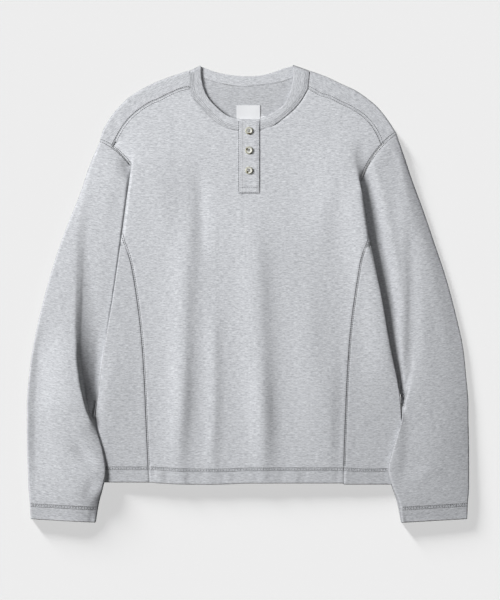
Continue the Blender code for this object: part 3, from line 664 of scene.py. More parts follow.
# The top layer of each sleeve: a ridge outside a crease line, and a valley from it to the body.
sleeveShape = {
    "left": {
        "line": ((262, 200), (269.5, 265), (272.8, 317), (275, 381), (276, 430), (275, 475), (271.5, 503),
                 (268.5, 519), (264, 543.5), (259, 560), (249, 580)),
        "open": smoothCurve((205, 265, 300, 381, 462, 560, 584), (0, 0.5, 0.75, 0.9, 1, 1, 0)),
        "ridge": smoothCurve((124, 164, 265, 373, 440, 482, 540, 580, 620, 683, 735),
                             (8.2, 10.4, 12.8, 15.3, 17.8, 21.0, 21.4, 18.0, 15.4, 13.6, 9.6)),
        "outer": smoothCurve((124, 170, 260, 400, 480, 560, 620, 700, 735),
                             (3.8, 4.5, 5.7, 8.0, 9.1, 8.6, 7.2, 5.4, 3.6)),
        "floor": smoothCurve((205, 265, 300, 349, 381, 414, 462, 500, 519, 545, 580),
                             (10.4, 10.6, 10.8, 11.2, 11.6, 12.2, 13.4, 12.4, 8.6, 2.4, 1.6)),
        "crest": smoothCurve((124, 200, 265, 300, 349, 381, 414, 462, 500, 560),
                             (8.4, 10.2, 9.8, 9.4, 8.2, 7.2, 6.2, 3.4, 2.0, 1.5)),
        "lap": smoothCurve((160, 300, 400, 560), (34, 34, 24, 8)),
        "flat": smoothCurve((160, 560), (2, 2)),
        "shelf": smoothCurve((124, 187, 265, 300, 349, 381, 414, 462, 520),
                             (5.6, 6.0, 6.0, 5.4, 4.2, 3.2, 2.0, -0.8, -2.4)),
        "cliff": smoothCurve((205, 300, 381, 462, 500, 540), (16, 14, 12, 8, 5.5, 3)),
        "spread": smoothCurve((205, 300, 349, 381, 414, 462, 510), (10, 13, 19, 25, 30, 37, 32)),
        "soft": smoothCurve((124, 240, 320, 420, 490, 565, 610, 740), (4, 4, 14, 10, 1.4, 1.2, 14, 14)),
        "low": 4.3, "start": 2.0, "round": 1.4, "swell": 0.0,
    },
    "right": {
        "line": ((241, 150), (245, 171), (253, 219.5), (266, 300), (271, 381), (267, 462), (262.5, 500),
                 (258, 519), (252.5, 540), (245, 570)),
        "open": smoothCurve((130, 171, 230, 300, 462, 548, 570), (0, 0.6, 0.85, 0.95, 0.97, 0.95, 0)),
        "ridge": smoothCurve((112, 148, 250, 373, 440, 490, 560, 620, 683, 735),
                             (8.2, 8.2, 8.4, 8.4, 8.4, 8.6, 10.4, 12.6, 11.6, 7.8)),
        "outer": smoothCurve((112, 150, 240, 300, 420, 600, 700, 735),
                             (3.4, 2.4, 1.3, 1.0, 1.0, 1.8, 2.6, 2.8)),
        "floor": smoothCurve((140, 171, 220, 300, 381, 462, 505, 540, 580),
                             (7.4, 7.0, 7.6, 7.8, 7.9, 7.8, 7.0, 3.8, 2.0)),
        "crest": smoothCurve((112, 200, 250, 317, 381, 462, 540), (8.0, 6.8, 6.2, 6.2, 6.8, 6.8, 2.8)),
        "lap": smoothCurve((160, 250, 381, 462, 540), (18, 24, 22, 12, 6)),
        "flat": smoothCurve((160, 250, 320, 381, 462, 540), (9, 14, 15, 12, 7, 1)),
        "shelf": smoothCurve((160, 250, 320, 381, 462, 540), (0.6, 0.0, 0.1, 0.8, 2.2, 0)),
        "cliff": smoothCurve((155, 219, 381, 462, 490, 505, 560), (14, 20, 24, 14, 5, 2.4, 1.4)),
        "spread": smoothCurve((112, 560), (17, 17)),
        "soft": smoothCurve((112, 480, 540, 740), (4, 4, 1.5, 1.5)),
        "low": 2.6, "start": 8.0, "round": 0.4, "swell": 1.0,
    },
}
sleeveCreases = {
    "left": (
        (-2.2, 10, 26, 0.35, ((-316, 381), (-337, 462), (-343, 543), (-344, 640), (-341, 715))),
        (-2.4, 8, 9, 0.5, ((-292, 610), (-262, 636), (-240, 650))),
        (0.8, 9, 9, 0.5, ((-330, 640), (-290, 668), (-262, 690))),
        (-1.3, 8, 10, 0.5, ((-249, 660), (-258, 690), (-268, 712))),
    ),
    "right": (
        (-1.5, 11, 30, 0.35, ((264, 556), (258, 592), (256, 625), (250, 664), (244, 690))),
        (-2.2, 7, 16, 0.3, ((256, 230), (260, 300), (262.5, 350), (262, 414), (260.5, 462), (257, 503),
                            (253.5, 520), (250, 540))),
        (0.8, 12, 16, 0.4, ((258, 190), (292, 310), (318, 430), (330, 540))),
        (0.8, 9, 9, 0.5, ((250, 680), (280, 664), (320, 640))),
    ),
}


def sleeveTop(side, x, down, fromOuter, fromInner, innerTop):
    # Height of a sleeve's top layer from its ridge, its valley and its lap beside the body.
    shape = sleeveShape[side]
    outerTop = low + 2 * shape["outer"](down)
    inwards = -nearest(x, down, shape["line"])[0]
    before = np.minimum(np.maximum(-inwards, 0), fromInner)
    share = fromOuter / (fromOuter + before + 1)
    swell = mix(ease(share * 1.25), 1 - (1 - share) ** mix(1.6, 2.8, ease((down - 440) / 120)),
                shape["swell"])
    opened = shape["open"](down)
    height = outerTop + (shape["ridge"](down) - outerTop) * swell
    height -= shape["round"] * opened * np.exp(-before / 8)
    across = np.clip((inwards - shape["start"]) / shape["spread"](down), 0, 1)
    valley = mix(shape["floor"](down), shape["crest"](down), 1 - (1 - across) ** 2)
    cliff = shape["cliff"](down)
    height = mix(height, valley, ease(inwards / cliff + 0.5) * opened)
    away = x - body[side](down)
    lapEnd, lapFade = sleeveFold["lapEnd"]
    lapped = 1 - ease((down - lapEnd) / lapFade)
    overBody = (1 - ease((away - shape["flat"](down)) / shape["lap"](down))) * lapped
    height = mix(height, shape["low"] + shape["shelf"](down), overBody)
    under = (1 - ease((away + 1.0) / 1.8)) * lapped
    height = mix(height, shape["low"], under)
    return innerTop + (height - innerTop) * (1 - np.exp(-fromInner / shape["soft"](down)))


def sleeveRing(side, t):
    # The ring round the sleeve at section t, as x, down, height and whether it is the top layer.
    section = {name: smoothCurve(np.arange(len(values)), values)(t)
               for name, values in (*sleeve[side].items(), *sleeveStart[side].items())}
    outer = np.array((section["outerX"], section["outerDown"]))
    inner = np.array((section["innerX"], section["innerDown"]))
    width = np.hypot(*(inner - outer)) - cloth["wall"]
    along = (inner - outer) / np.hypot(*(inner - outer))
    across = np.array((-along[1], along[0]))
    bow = armhole[side]["bow"] * max(1 - t / 4, 0)
    gap = 0.5 * max(1 - t * 12, 0)
    outTurn = float(sleeveShape[side]["outer"](outer[1]))
    inTurn = float(sleeveFold["inner"][side](inner[1]))
    outIn, inIn = sleeveFold["outerIn"], sleeveFold["innerIn"]
    lift = section["lift"]
    shares = np.array((0, section["ridge"], section["crease"], section["crest"], section["lap"], 1))
    heights = np.array((low + 2 * outTurn, section["ridgeHeight"], section["creaseHeight"],
                        section["crestHeight"], section["lapHeight"], low + lift + 2 * inTurn))
    top = smoothCurve(shares, heights)
    firstShare, lastShare = outIn / width, 1 - inIn / width
    even = np.linspace(0, 1, 70)
    topShares = mix(firstShare, lastShare, even)
    lowShares = mix(firstShare, lastShare, np.linspace(1, 0, 16))
    liftFrom, liftTo = sleeveFold["lift"]
    lowLift = lift * ease((lowShares - liftFrom) / (liftTo - liftFrom))
    outBend = np.linspace(0, math.pi, 10)[1:-1]
    inBend = np.linspace(0, math.pi, 8)[1:-1]
    distance = np.concatenate((
        lowShares * width, outIn * (1 - np.sin(outBend)), topShares * width,
        width - inIn * (1 - np.sin(inBend)), lowShares[:1] * width))
    share = topShares + low / (width + cloth["wall"])
    bend = (bow * np.sin(math.pi * share ** 0.8) - gap)[:, None] * across
    topPlan = outer + (topShares * width + low)[:, None] * along + bend
    shaped = sleeveTop(side, topPlan[:, 0], topPlan[:, 1], topShares * width, (1 - topShares) * width,
                       heights[-1])
    topHeights = mix(top(topShares), shaped, ease((t - 0.02) / 0.7))
    height = np.concatenate((
        low + lowLift, low + outTurn * (1 - np.cos(outBend)), topHeights,
        low + lift + inTurn * (1 + np.cos(inBend)), low + lowLift[:1]))
    isTop = np.concatenate((
        np.zeros(16), np.sin(outBend / 2) ** 4, ease((1 - even) * 12), np.zeros(7)))
    share = (distance + low) / (width + cloth["wall"])
    offset = bow * np.sin(math.pi * share ** 0.8) - gap
    plan = outer + (distance + low)[:, None] * along + offset[:, None] * across
    return plan, height, isTop


def cuffLine(side):
    rows = sleeve[side]
    return [(sideSign[side] * rows["outerX"][-1], rows["outerDown"][-1]),
            (sideSign[side] * rows["innerX"][-1], rows["innerDown"][-1])]


def makeSleeve(side):
    rows = sleeve[side]
    mids = np.stack(((rows["outerX"] + rows["innerX"]) / 2, (rows["outerDown"] + rows["innerDown"]) / 2),
                    axis=-1)
    lengths = np.concatenate(((0,), np.cumsum(np.hypot(*np.diff(mids, axis=0).T))))
    total = lengths[-1]
    places = np.concatenate((
        (0, 0.7, 1.8, 3.4, 5.6, 8.4), np.arange(12.5, total - 30, 4.6),
        total - np.array((29, 27, 25, 23.5, 22, 20.5, 18.5, 15, 11, 7, 3.5, 1.5, 0))))
    sections = np.interp(places, lengths, np.arange(len(lengths)))
    plans, heights, tops = map(np.array, zip(*(sleeveRing(side, t) for t in sections)))
    x, down = plans[..., 0] * sideSign[side], plans[..., 1]
    z = heights + creaseRelief(x, down, sleeveCreases[side]) * tops
    seam = [(sideSign[side] * a, b) for a, b in armholeLine[side][::10]]
    z += seamRelief(x, down, seam, 7.0 + sideSign[side]) * tops
    away, along, _ = nearest(x, down, cuffLine(side))
    up = np.abs(away)
    z -= tops * (1.7 * ease((25 - up) / 25) + 0.3 * np.exp(-((up - 22.5) / 3.2) ** 2))
    z += tops * 0.1 * ripple(along * 0.6, 2.0 + sideSign[side]) * np.exp(-((up - 9) / 8) ** 2)
    points = toWorld(x, down, z)
    ring = points[-1, :-1]
    around = np.roll(ring, -1, axis=0) - np.roll(ring, 1, axis=0)
    inwards = np.stack((around[:, 2], np.zeros(len(ring)), -around[:, 0]), axis=-1)
    inwards /= np.linalg.norm(inwards, axis=1)[:, None]
    if inwards[:16, 2].mean() < 0:      # the lower layer turns upwards
        inwards = -inwards
    inwards = np.concatenate((inwards, inwards[:1]))
    upTube = points[-6] - points[-1]
    upTube /= np.linalg.norm(upTube, axis=1)[:, None]
    short, deep = turnUnder()
    turnedIn = [points[-1] + (upTube * s + inwards * h) * mm for s, h in zip(short, deep)]
    points = np.concatenate((points, np.array(turnedIn)))
    uv = planUv(points, -sideSign[side] * 10)
    if side == "left":
        points, uv = points[:, ::-1], uv[:, ::-1]
    return addWall(sheetMesh(side + "Sleeve", points, uv, close=True), cloth["wall"])


# Neckband.

band = {"wall": 0.6, "fold": 0.32, "gap": 0.2, "crown": 0.2, "wave": 0.16}
bandHeight = {"left": (6.8, 8.3), "right": (9.2, 8.0)}      # inner and outer edge beside the neck
bandFront = {
    "left": ((15.2, 15.2, 89.5), (34, 31, 86), (50, 43, 78.5), (66, 56, 67), (80, 67, 54), (91, 73.5, 40),
             (95, 75.8, 32)),
    "right": ((17.4, 17.4, 89), (34, 31, 83), (50, 45, 75), (66, 56, 66.5), (80, 64, 52), (91, 68.5, 38),
              (95, 70.2, 30)),
}
bandBack = {
    "left": ((84, 67, 8.4), (70, 57, 12), (48, 44, 15.6), (24, 22, 19), (0, 0, 20)),
    "right": ((84, 62, 5.4), (70, 51, 9.2), (48, 38, 14), (24, 20, 18.5), (0, 0, 20)),
}
bandSide = {
    "left": {"out": (96, 24), "in": (77.8, 18), "foldOut": (95.6, 10.1), "foldIn": (79, 1.9),
             "way": (-0.33, 0.94)},
    "right": {"out": (96.8, 24), "in": (71.3, 18), "foldOut": (98.2, 10.5), "foldIn": (71.8, 1.2),
              "way": (-0.35, 0.94)},
}


def bandStations(side):
    stations = []
    heights = np.array(bandHeight[side])
    for x, inX, inDown in bandFront[side]:
        stations.append((inX, inDown, x, float(frontNeck[side](x)),
                         *mix(8.2, heights, ease((x - 15) / 60))))
    fold = bandSide[side]
    stations.append((*fold["in"], *fold["out"], *heights))
    bottom = 1.1
    way = np.array(fold["way"])
    for step in range(7):
        bend = math.pi * step / 6
        shift = way * (1.3 * (1 - math.sin(bend)) + bottom)
        inner, outer = fold["foldIn"] + shift, fold["foldOut"] + shift
        lower = bottom + np.array((neckLift(*inner), neckLift(*outer)))
        stations.append((*inner, *outer, *mix(lower, heights, 0.5 + 0.5 * math.cos(bend))))
    for x, inX, inDown in bandBack[side]:
        outDown = float(backNeck[side](x)) + 0.3
        stations.append((inX, inDown, x, outDown, bottom + neckLift(inX, inDown),
                         bottom + neckLift(x, outDown)))
    stations = np.array(stations)
    stations[:, (0, 2)] *= sideSign[side]
    return stations


def throughPoints(points, step):
    # A smooth line through points of any width, resampled to even steps of its length.
    points = np.asarray(points, float)
    padded = np.concatenate((2 * points[:1] - points[1:2], points, 2 * points[-1:] - points[-2:-1]))
    fine = []
    for a, b, c, d in zip(padded, padded[1:], padded[2:], padded[3:]):
        for t in np.linspace(0, 1, 12, endpoint=False):
            fine.append(0.5 * (2 * b + (c - a) * t + (2 * a - 5 * b + 4 * c - d) * t * t
                               + (3 * b - a - 3 * c + d) * t ** 3))
    fine.append(points[-1])
    fine = np.array(fine)
    lengths = np.concatenate(((0,), np.cumsum(np.linalg.norm(np.diff(fine, axis=0), axis=1))))
    at = np.linspace(0, lengths[-1], max(2, round(lengths[-1] / step)) + 1)
    return np.stack([np.interp(at, lengths, column) for column in fine.T], axis=-1)


def makeNeckband():
    stations = np.concatenate((bandStations("left"), bandStations("right")[-2::-1]))
    line = throughPoints(stations, 5.5)
    inner = toWorld(line[:, 0], line[:, 1], line[:, 4])
    outer = toWorld(line[:, 2], line[:, 3], line[:, 5])
    across = inner - outer
    width = np.linalg.norm(across, axis=1)
    across /= width[:, None]
    outer = outer + across * band["gap"] * mm
    width = width - band["gap"] * mm
    mid = (inner + outer) / 2
    tangent = np.gradient(mid, axis=0)
    normal = np.cross(across, tangent)
    normal /= np.linalg.norm(normal, axis=1)[:, None]
    normal *= np.sign(normal[0, 2])
    half = band["fold"] * mm
    flat = np.concatenate(((0, 0.03, 0.08, 0.16), np.linspace(0.25, 1, 9)))
    # Round the band: share of its width, height from its middle and how far its fold stands out.
    profile = [(share, -half, 0) for share in flat]
    profile += [(1, half * -math.cos(a), math.sin(a)) for a in np.linspace(0, math.pi, 7)[1:-1]]
    profile += [(share, half, 0) for share in flat[::-1]]
    places = np.concatenate(((0,), np.cumsum(np.linalg.norm(np.diff(mid, axis=0), axis=1)))) / mm
    rows = []
    for share, rise, bulge in profile:
        reach = (width - half) * share + half * bulge
        height = np.full(len(places), rise)
        if rise > 0:
            height += band["crown"] * mm * math.sin(math.pi * min(share, 1)) ** 0.7
            height += band["wave"] * mm * ripple(places, 5.0) * math.exp(-((share - 0.12) / 0.2) ** 2)
        rows.append(outer + across * reach[:, None] + normal * height[:, None])
    points = np.array(rows)
    return addWall(sheetMesh("neckTube", points, layUv(points)), band["wall"])


# Placket.

placket = {
    "left": -17.0, "right": 16.6, "top": 89.5, "bottom": 210.0, "wall": 0.46, "fold": 0.24,
    "row": 199.5, "lowRow": 208.3,      # rows of stitches across it
}
placketHalf = placket["fold"] + placket["wall"] / 2     # half of the folded strip's thickness


def placketHeight(down):
    return middle(down) + low + 0.15 + placketHalf


def makePlacket():
    half = placket["fold"]
    left, right = placket["left"] + half, placket["right"] - half
    bends = np.linspace(0, math.pi, 7)
    xs = np.concatenate(((left + 11, left + 5), left - half * np.sin(bends),
                         np.linspace(left, right, 34)[1:-1],
                         right + half * np.sin(bends), (right - 5, right - 11)))
    zs = np.concatenate(((-half, -half), -half * np.cos(bends), np.full(32, half), half * np.cos(bends),
                         (-half, -half)))
    downs = np.concatenate((np.linspace(placket["top"], placket["bottom"] - 1, 44),
                            placket["bottom"] - np.array((0.4, 0.0))))
    x = np.repeat(xs[None, :], len(downs), axis=0)
    down = np.repeat(downs[:, None], len(xs), axis=1)
    z = placketHeight(np.maximum(down, 108)) + zs
    top = np.repeat((zs > half * 0.5)[None, :], len(downs), axis=0)
    z += top * 0.08 * (ripple(down, 2.0) + 1) * (np.exp(-((x - left - 6) / 4) ** 2)
                                                 + np.exp(-((x - right + 6) / 4) ** 2))
    z -= top * 0.15 * np.exp(-((down - placket["row"]) / 2) ** 2)
    z += top * 0.32 * np.exp(-((x - left - 4.4) / 1.3) ** 2)
    z -= 0.9 * ease((down - placket["bottom"] + 1.5) / 1.5)
    points = toWorld(x, down, z)[:, ::-1]
    return addWall(sheetMesh("placketStrip", points, layUv(points)), placket["wall"])


# Neck label and size tab.

# middle and size
labels = {"neckLabel": ((-1.2, 83.5), (38.0, 34.0)), "sizeTab": ((23.2, 91.5), (8.5, 15.0))}
tapeWall = 0.5


def makeLabel(name):
    (midX, midDown), (width, height) = labels[name]
    x, down = np.meshgrid(midX + width * np.linspace(-0.5, 0.5, 15),
                          midDown + height * np.linspace(-0.5, 0.5, 13))
    z = 2 * low + 0.45 + neckLift(x, down)
    z += 0.15 * np.sin((x - midX) / width * 5 + (down - midDown) / height * 2)
    z += 0.6 * (name == "sizeTab")      # it lies on the label's edge
    points = toWorld(x, down, z)[:, ::-1]
    return addWall(sheetMesh(name, points, layUv(points)), tapeWall)


print("forms are set")
pieces = {"front": makeFront(), "back": makeBack()}
for side in sideSign:
    pieces["side_" + side] = makeSide(side)
    pieces["sleeve_" + side] = makeSleeve(side)
pieces["neckband"] = makeNeckband()
pieces["placket"] = makePlacket()
pieces["neck_label"] = makeLabel("neckLabel")
pieces["size_tab"] = makeLabel("sizeTab")
print("cloth pieces are made")


# Stitching.

def surfaceUnder(names, above=True):
    # Reads the first cloth surface met from above or from below at x, down.
    graph = bpy.context.evaluated_depsgraph_get()
    trees = [BVHTree.FromObject(pieces[name], graph) for name in names]
    start, way = (0.1, Vector((0, 0, -1))) if above else (-0.1, Vector((0, 0, 1)))

    def read(x, down):
        origin = Vector(((x + middleX) * mm, (topY - down) * mm, start))
        hits = [tree.ray_cast(origin, way, 0.2) for tree in trees]
        hits = [hit for hit in hits if hit[0] is not None]
        return min(hits, key=lambda hit: hit[3])[:2] if hits else None

    return read


def evenly(line, step):
    line = np.asarray(line, float)
    lengths = np.concatenate(((0,), np.cumsum(np.hypot(*np.diff(line, axis=0).T))))
    at = np.arange(step / 2, lengths[-1], step)
    return np.stack([np.interp(at, lengths, column) for column in line.T], axis=-1)


def beside(line, offset):
    # The same line moved to its right, going down it.
    line = np.asarray(line, float)
    along = np.gradient(line, axis=0)
    along /= np.hypot(*along.T)[:, None]
    return line + offset * np.stack((along[:, 1], -along[:, 0]), axis=-1)


def stitchPlaces(line, read, pitch):
    # Middle, way and upward direction of each stitch along a line of x, down.
    points = evenly(line, pitch)
    found = [read(*point) for point in points]
    places = []
    for n, hit in enumerate(found):
        near = found[min(n + 1, len(found) - 1)], found[max(n - 1, 0)]
        if hit is None or None in near:
            continue
        way = near[0][0] - near[1][0]
        up = hit[1] if way.length else Vector((0, 0, 1))
        if way.length > 3.2 * pitch * mm or way.length < 0.4 * pitch * mm:
            continue
        way = (way - way.dot(up) * up).normalized()
        places.append((hit[0], way, up))
    return places


def stitchMesh(name, places, size, finish):
    # One joined mesh of short rounded stitches.
    one = bmesh.new()
    bmesh.ops.create_uvsphere(one, u_segments=6, v_segments=4, radius=0.5)
    shape = np.array([v.co for v in one.verts])
    faces = [[v.index for v in f.verts] for f in one.faces]
    one.free()
    shape = shape[:, (2, 0, 1)] * np.array(size) * mm
    middles = np.array([p[0] for p in places])
    ways = np.array([p[1] for p in places])
    ups = np.array([p[2] for p in places])
    sides = np.cross(ups, ways)
    verts = (middles + ups * size[2] * 0.22 * mm)[:, None, :] + shape[None, :, :1] * ways[:, None, :] \
        + shape[None, :, 1:2] * sides[:, None, :] + shape[None, :, 2:] * ups[:, None, :]
    count = len(shape)
    mesh = bpy.data.meshes.new(name)
    mesh.from_pydata(verts.reshape(-1, 3).tolist(), [],
                     [[v + n * count for v in f] for n in range(len(places)) for f in faces])
    mesh.update()
    tidy = bmesh.new()
    tidy.from_mesh(mesh)
    bmesh.ops.recalc_face_normals(tidy, faces=tidy.faces)
    tidy.to_mesh(mesh)
    tidy.free()
    mesh.shade_smooth()
    mesh.materials.append(finish)
    return link(name, mesh)


# Finishes.

def shaderGroup(name, inputs, outputs):
    group = bpy.data.node_groups.new(name, "ShaderNodeTree")
    for title, kind in inputs:
        group.interface.new_socket(title, in_out="INPUT", socket_type=kind)
    for title, kind in outputs:
        group.interface.new_socket(title, in_out="OUTPUT", socket_type=kind)
    return group, group.nodes.new("NodeGroupInput"), group.nodes.new("NodeGroupOutput")


def addNode(tree, kind, values=None, **settings):
    node = tree.nodes.new("ShaderNode" + kind)
    for name, value in settings.items():
        setattr(node, name, value)
    for key, value in (values or {}).items():
        node.inputs[key].default_value = value
    return node


def newFinish(name):
    finish = bpy.data.materials.new(name)
    finish.use_nodes = True
    return finish, finish.node_tree, finish.node_tree.nodes["Principled BSDF"]


def twoTone(tree, share, dark, pale):
    # Mixes two colours by a share from 0 to 1.
    ramp = addNode(tree, "ValToRGB")
    for element, colour in zip(ramp.color_ramp.elements, (dark, pale)):
        element.color = (*colour, 1)
    tree.links.new(share, ramp.inputs[0])
    return ramp.outputs[0]


def calculate(tree, operation, a, b=None):
    node = addNode(tree, "Math", operation=operation)
    for socket, value in zip(node.inputs, (a, b)):
        if value is None:
            continue
        if isinstance(value, (int, float)):
            socket.default_value = value
        else:
            tree.links.new(value, socket)
    return node.outputs[0]


def makeMelangeGroup():
    # Flecks of dark and pale fibre drawn out along the yarn, from 0 to 1.
    group, into, out = shaderGroup("melange", [("Cloth", "NodeSocketVector")],
                                   [("Fleck", "NodeSocketFloat")])
    shares = []
    for scale, detail, share in (((150, 800, 1), 1.0, 0.46), ((330, 1500, 1), 1.0, 0.36),
                                 ((60, 300, 1), 1.0, 0.18)):
        stretch = addNode(group, "Mapping", {"Scale": scale})
        noise = addNode(group, "TexNoise", {"Scale": 1.0, "Detail": detail, "Roughness": 0.6})
        group.links.new(into.outputs["Cloth"], stretch.inputs["Vector"])
        group.links.new(stretch.outputs[0], noise.inputs["Vector"])
        shares.append(calculate(group, "MULTIPLY", noise.outputs[0], share))
    total = calculate(group, "ADD", calculate(group, "ADD", shares[0], shares[1]), shares[2])
    spread = addNode(group, "MapRange", {"From Min": 0.375, "From Max": 0.625})
    group.links.new(total, spread.inputs["Value"])
    group.links.new(spread.outputs[0], out.inputs["Fleck"])
    return group


def makeKnitGroup():
    # Columns of small V loops, as a height from 0 to 1.
    group, into, out = shaderGroup("knitLoops", [("Cloth", "NodeSocketVector")],
                                   [("Height", "NodeSocketFloat")])
    split = addNode(group, "SeparateXYZ")
    group.links.new(into.outputs["Cloth"], split.inputs[0])
    column = calculate(group, "FRACT", calculate(group, "MULTIPLY", split.outputs[0], 850.0))
    lean = calculate(group, "ABSOLUTE", calculate(group, "SUBTRACT", column, 0.5))
    course = calculate(group, "ADD", calculate(group, "MULTIPLY", split.outputs[1], 1050.0),
                       calculate(group, "MULTIPLY", lean, 1.3))
    loop = calculate(group, "SINE", calculate(group, "MULTIPLY", course, 6.2832))
    rib = calculate(group, "SINE", calculate(group, "MULTIPLY", column, 3.1416))
    height = calculate(group, "MULTIPLY", rib, calculate(group, "ADD",
                                                         calculate(group, "MULTIPLY", loop, 0.3), 0.7))
    group.links.new(height, out.inputs["Height"])
    return group


def makeCloth(name, shade=1.0):
    finish, tree, shader = newFinish(name)
    uv = addNode(tree, "UVMap", uv_map="cloth")
    fleck = tree.nodes.new("ShaderNodeGroup")
    fleck.node_tree = melange
    loops = tree.nodes.new("ShaderNodeGroup")
    loops.node_tree = knit
    for group in (fleck, loops):
        tree.links.new(uv.outputs[0], group.inputs["Cloth"])
    tones = [[c * shade for c in cloth[tone]] for tone in ("dark", "pale")]
    colour = twoTone(tree, fleck.outputs["Fleck"], *tones)
    # Painted shade, which jersey doesn't have: steep faces get a darker colour by their facing in the
    # world, because the low key light would show them as pale rims. A bake keeps it as it is.
    split = addNode(tree, "SeparateXYZ")
    tree.links.new(addNode(tree, "NewGeometry").outputs["Normal"], split.inputs[0])
    level = addNode(tree, "MapRange", {
        "From Min": cloth["paintedShadeFacing"][0], "From Max": cloth["paintedShadeFacing"][1],
        "To Min": cloth["steep"], "To Max": 1.0})
    tree.links.new(calculate(tree, "ABSOLUTE", split.outputs[2]), level.inputs["Value"])
    paintedShadeColour = addNode(tree, "VectorMath", operation="SCALE")
    tree.links.new(colour, paintedShadeColour.inputs[0])
    tree.links.new(level.outputs[0], paintedShadeColour.inputs["Scale"])
    tree.links.new(paintedShadeColour.outputs[0], shader.inputs["Base Color"])
    fuzz = addNode(tree, "TexNoise", {"Scale": 900.0, "Detail": 2.0})
    where = addNode(tree, "TexCoord")
    tree.links.new(where.outputs["Object"], fuzz.inputs["Vector"])
    height = calculate(tree, "ADD", calculate(tree, "MULTIPLY", loops.outputs["Height"], 0.35),
                       fuzz.outputs[0])
    bump = addNode(tree, "Bump", {"Strength": 0.3, "Distance": 0.00022})
    tree.links.new(height, bump.inputs["Height"])
    tree.links.new(bump.outputs[0], shader.inputs["Normal"])
    shader.inputs["Roughness"].default_value = 0.94
    shader.inputs["Specular IOR Level"].default_value = 0.2
    shader.inputs["Sheen Weight"].default_value = cloth["sheen"]
    shader.inputs["Sheen Roughness"].default_value = 0.6
    return finish


def makeThread(tone):
    finish, tree, shader = newFinish(tone + "Thread")
    where = addNode(tree, "TexCoord")
    noise = addNode(tree, "TexNoise", {"Scale": 1400.0, "Detail": 1.0})
    tree.links.new(where.outputs["Object"], noise.inputs["Vector"])
    colours = [c * 0.75 for c in thread[tone]], [c * 1.3 for c in thread[tone]]
    tree.links.new(twoTone(tree, noise.outputs[0], *colours), shader.inputs["Base Color"])
    shader.inputs["Roughness"].default_value = 0.6
    shader.inputs["Sheen Weight"].default_value = 0.1
    return finish


def makeLabelCloth():
    finish, tree, shader = newFinish("bareLabel")
    uv = addNode(tree, "UVMap", uv_map="cloth")
    weave = addNode(tree, "TexNoise", {"Scale": 1500.0, "Detail": 2.0})
    tree.links.new(uv.outputs[0], weave.inputs["Vector"])
    colour = twoTone(tree, weave.outputs[0], (0.77, 0.78, 0.80), (0.87, 0.88, 0.90))
    tree.links.new(colour, shader.inputs["Base Color"])
    bump = addNode(tree, "Bump", {"Strength": 0.2, "Distance": 0.0001})
    tree.links.new(weave.outputs[0], bump.inputs["Height"])
    tree.links.new(bump.outputs[0], shader.inputs["Normal"])
    shader.inputs["Roughness"].default_value = 0.7
    return finish


# Where each button's brown fleck lies from its middle, and its reach, in millimetres.
fleckAt = {1: ((0.2, -5.6), 3.8), 2: ((-3.6, 1.9), 2.4), 3: ((-2.2, -2.6), 2.2)}


def makeButtonFinish(number, down):
    finish, tree, shader = newFinish("marbledButton%d" % number)
    where = addNode(tree, "TexCoord")
    (fleckX, fleckUp), reach = fleckAt[number]
    cloud = addNode(tree, "TexNoise", {"Scale": 420.0, "Detail": 3.0, "Distortion": 1.2})
    tree.links.new(where.outputs["Object"], cloud.inputs["Vector"])
    centre = Vector(toWorld(0.0, down, 0.0))

    def mask(spot, inner, outer):
        # 1 inside the inner distance from a spot in plan, 0 beyond the outer one.
        shift = addNode(tree, "Mapping", {"Location": (-spot[0], -spot[1], 0.0), "Scale": (1.0, 1.0, 0.0)})
        tree.links.new(where.outputs["Object"], shift.inputs["Vector"])
        far = addNode(tree, "VectorMath", operation="LENGTH")
        tree.links.new(shift.outputs[0], far.inputs[0])
        rough = calculate(tree, "ADD", far.outputs["Value"], calculate(tree, "MULTIPLY", cloud.outputs[0],
                                                                       1.2 * mm))
        fall = addNode(tree, "MapRange", {"From Min": (inner + 0.6) * mm, "From Max": (outer + 0.6) * mm,
                                          "To Min": 1.0, "To Max": 0.0})
        tree.links.new(rough, fall.inputs["Value"])
        return fall.outputs[0]

    # olive rim, cream middle
    horn = twoTone(tree, mask(centre, 4.3, 5.3), (0.36, 0.35, 0.22), (0.68, 0.68, 0.64))
    brown = addNode(tree, "Mix", data_type="RGBA")
    brown.inputs[7].default_value = (0.10, 0.075, 0.03, 1)
    tree.links.new(mask(centre + Vector((fleckX, fleckUp, 0)) * mm, reach * 0.5, reach), brown.inputs[0])
    tree.links.new(horn, brown.inputs[6])
    tree.links.new(brown.outputs[2], shader.inputs["Base Color"])
    shader.inputs["Roughness"].default_value = 0.35
    shader.inputs["Coat Weight"].default_value = 0.2
    shader.inputs["Coat Roughness"].default_value = 0.2
    return finish


melange, knit = makeMelangeGroup(), makeKnitGroup()
# Each piece's jersey, darker by these shares. On the right sleeve this is painted shade for the light that
# falls less on it. On the side panels it is partly their own tone and partly painted shade. The back, the
# neckband and the inside faces are darker as given.
pieceTonesAndPaintedShade = {"front": 1.0, "back": 0.94, "side_left": 0.92, "side_right": 0.95, "sleeve_left": 1.0,
          "sleeve_right": 0.94, "neckband": 0.97, "placket": 1.0, "inside": 0.86}
finishes = {node: makeCloth("jersey" + node.title().replace("_", ""), shade) for node,
            shade in pieceTonesAndPaintedShade.items()}
finishes["neck_label"] = finishes["size_tab"] = makeLabelCloth()
for node, piece in pieces.items():
    outside, inside = finishes[node], finishes["inside"]
    for finish in {"back": (inside, outside), "front": (outside, inside)}.get(node, (outside, outside)):
        piece.data.materials.append(finish)
darkThread, midThread, paleThread = (makeThread(tone) for tone in ("dark", "mid", "pale"))
print("finishes are made")


# Rows of stitches.

def twin(line, read, gap=4.4):
    return [place for offset in (-gap / 2, gap / 2)
            for place in stitchPlaces(beside(line, offset), read, thread["pitch"])]


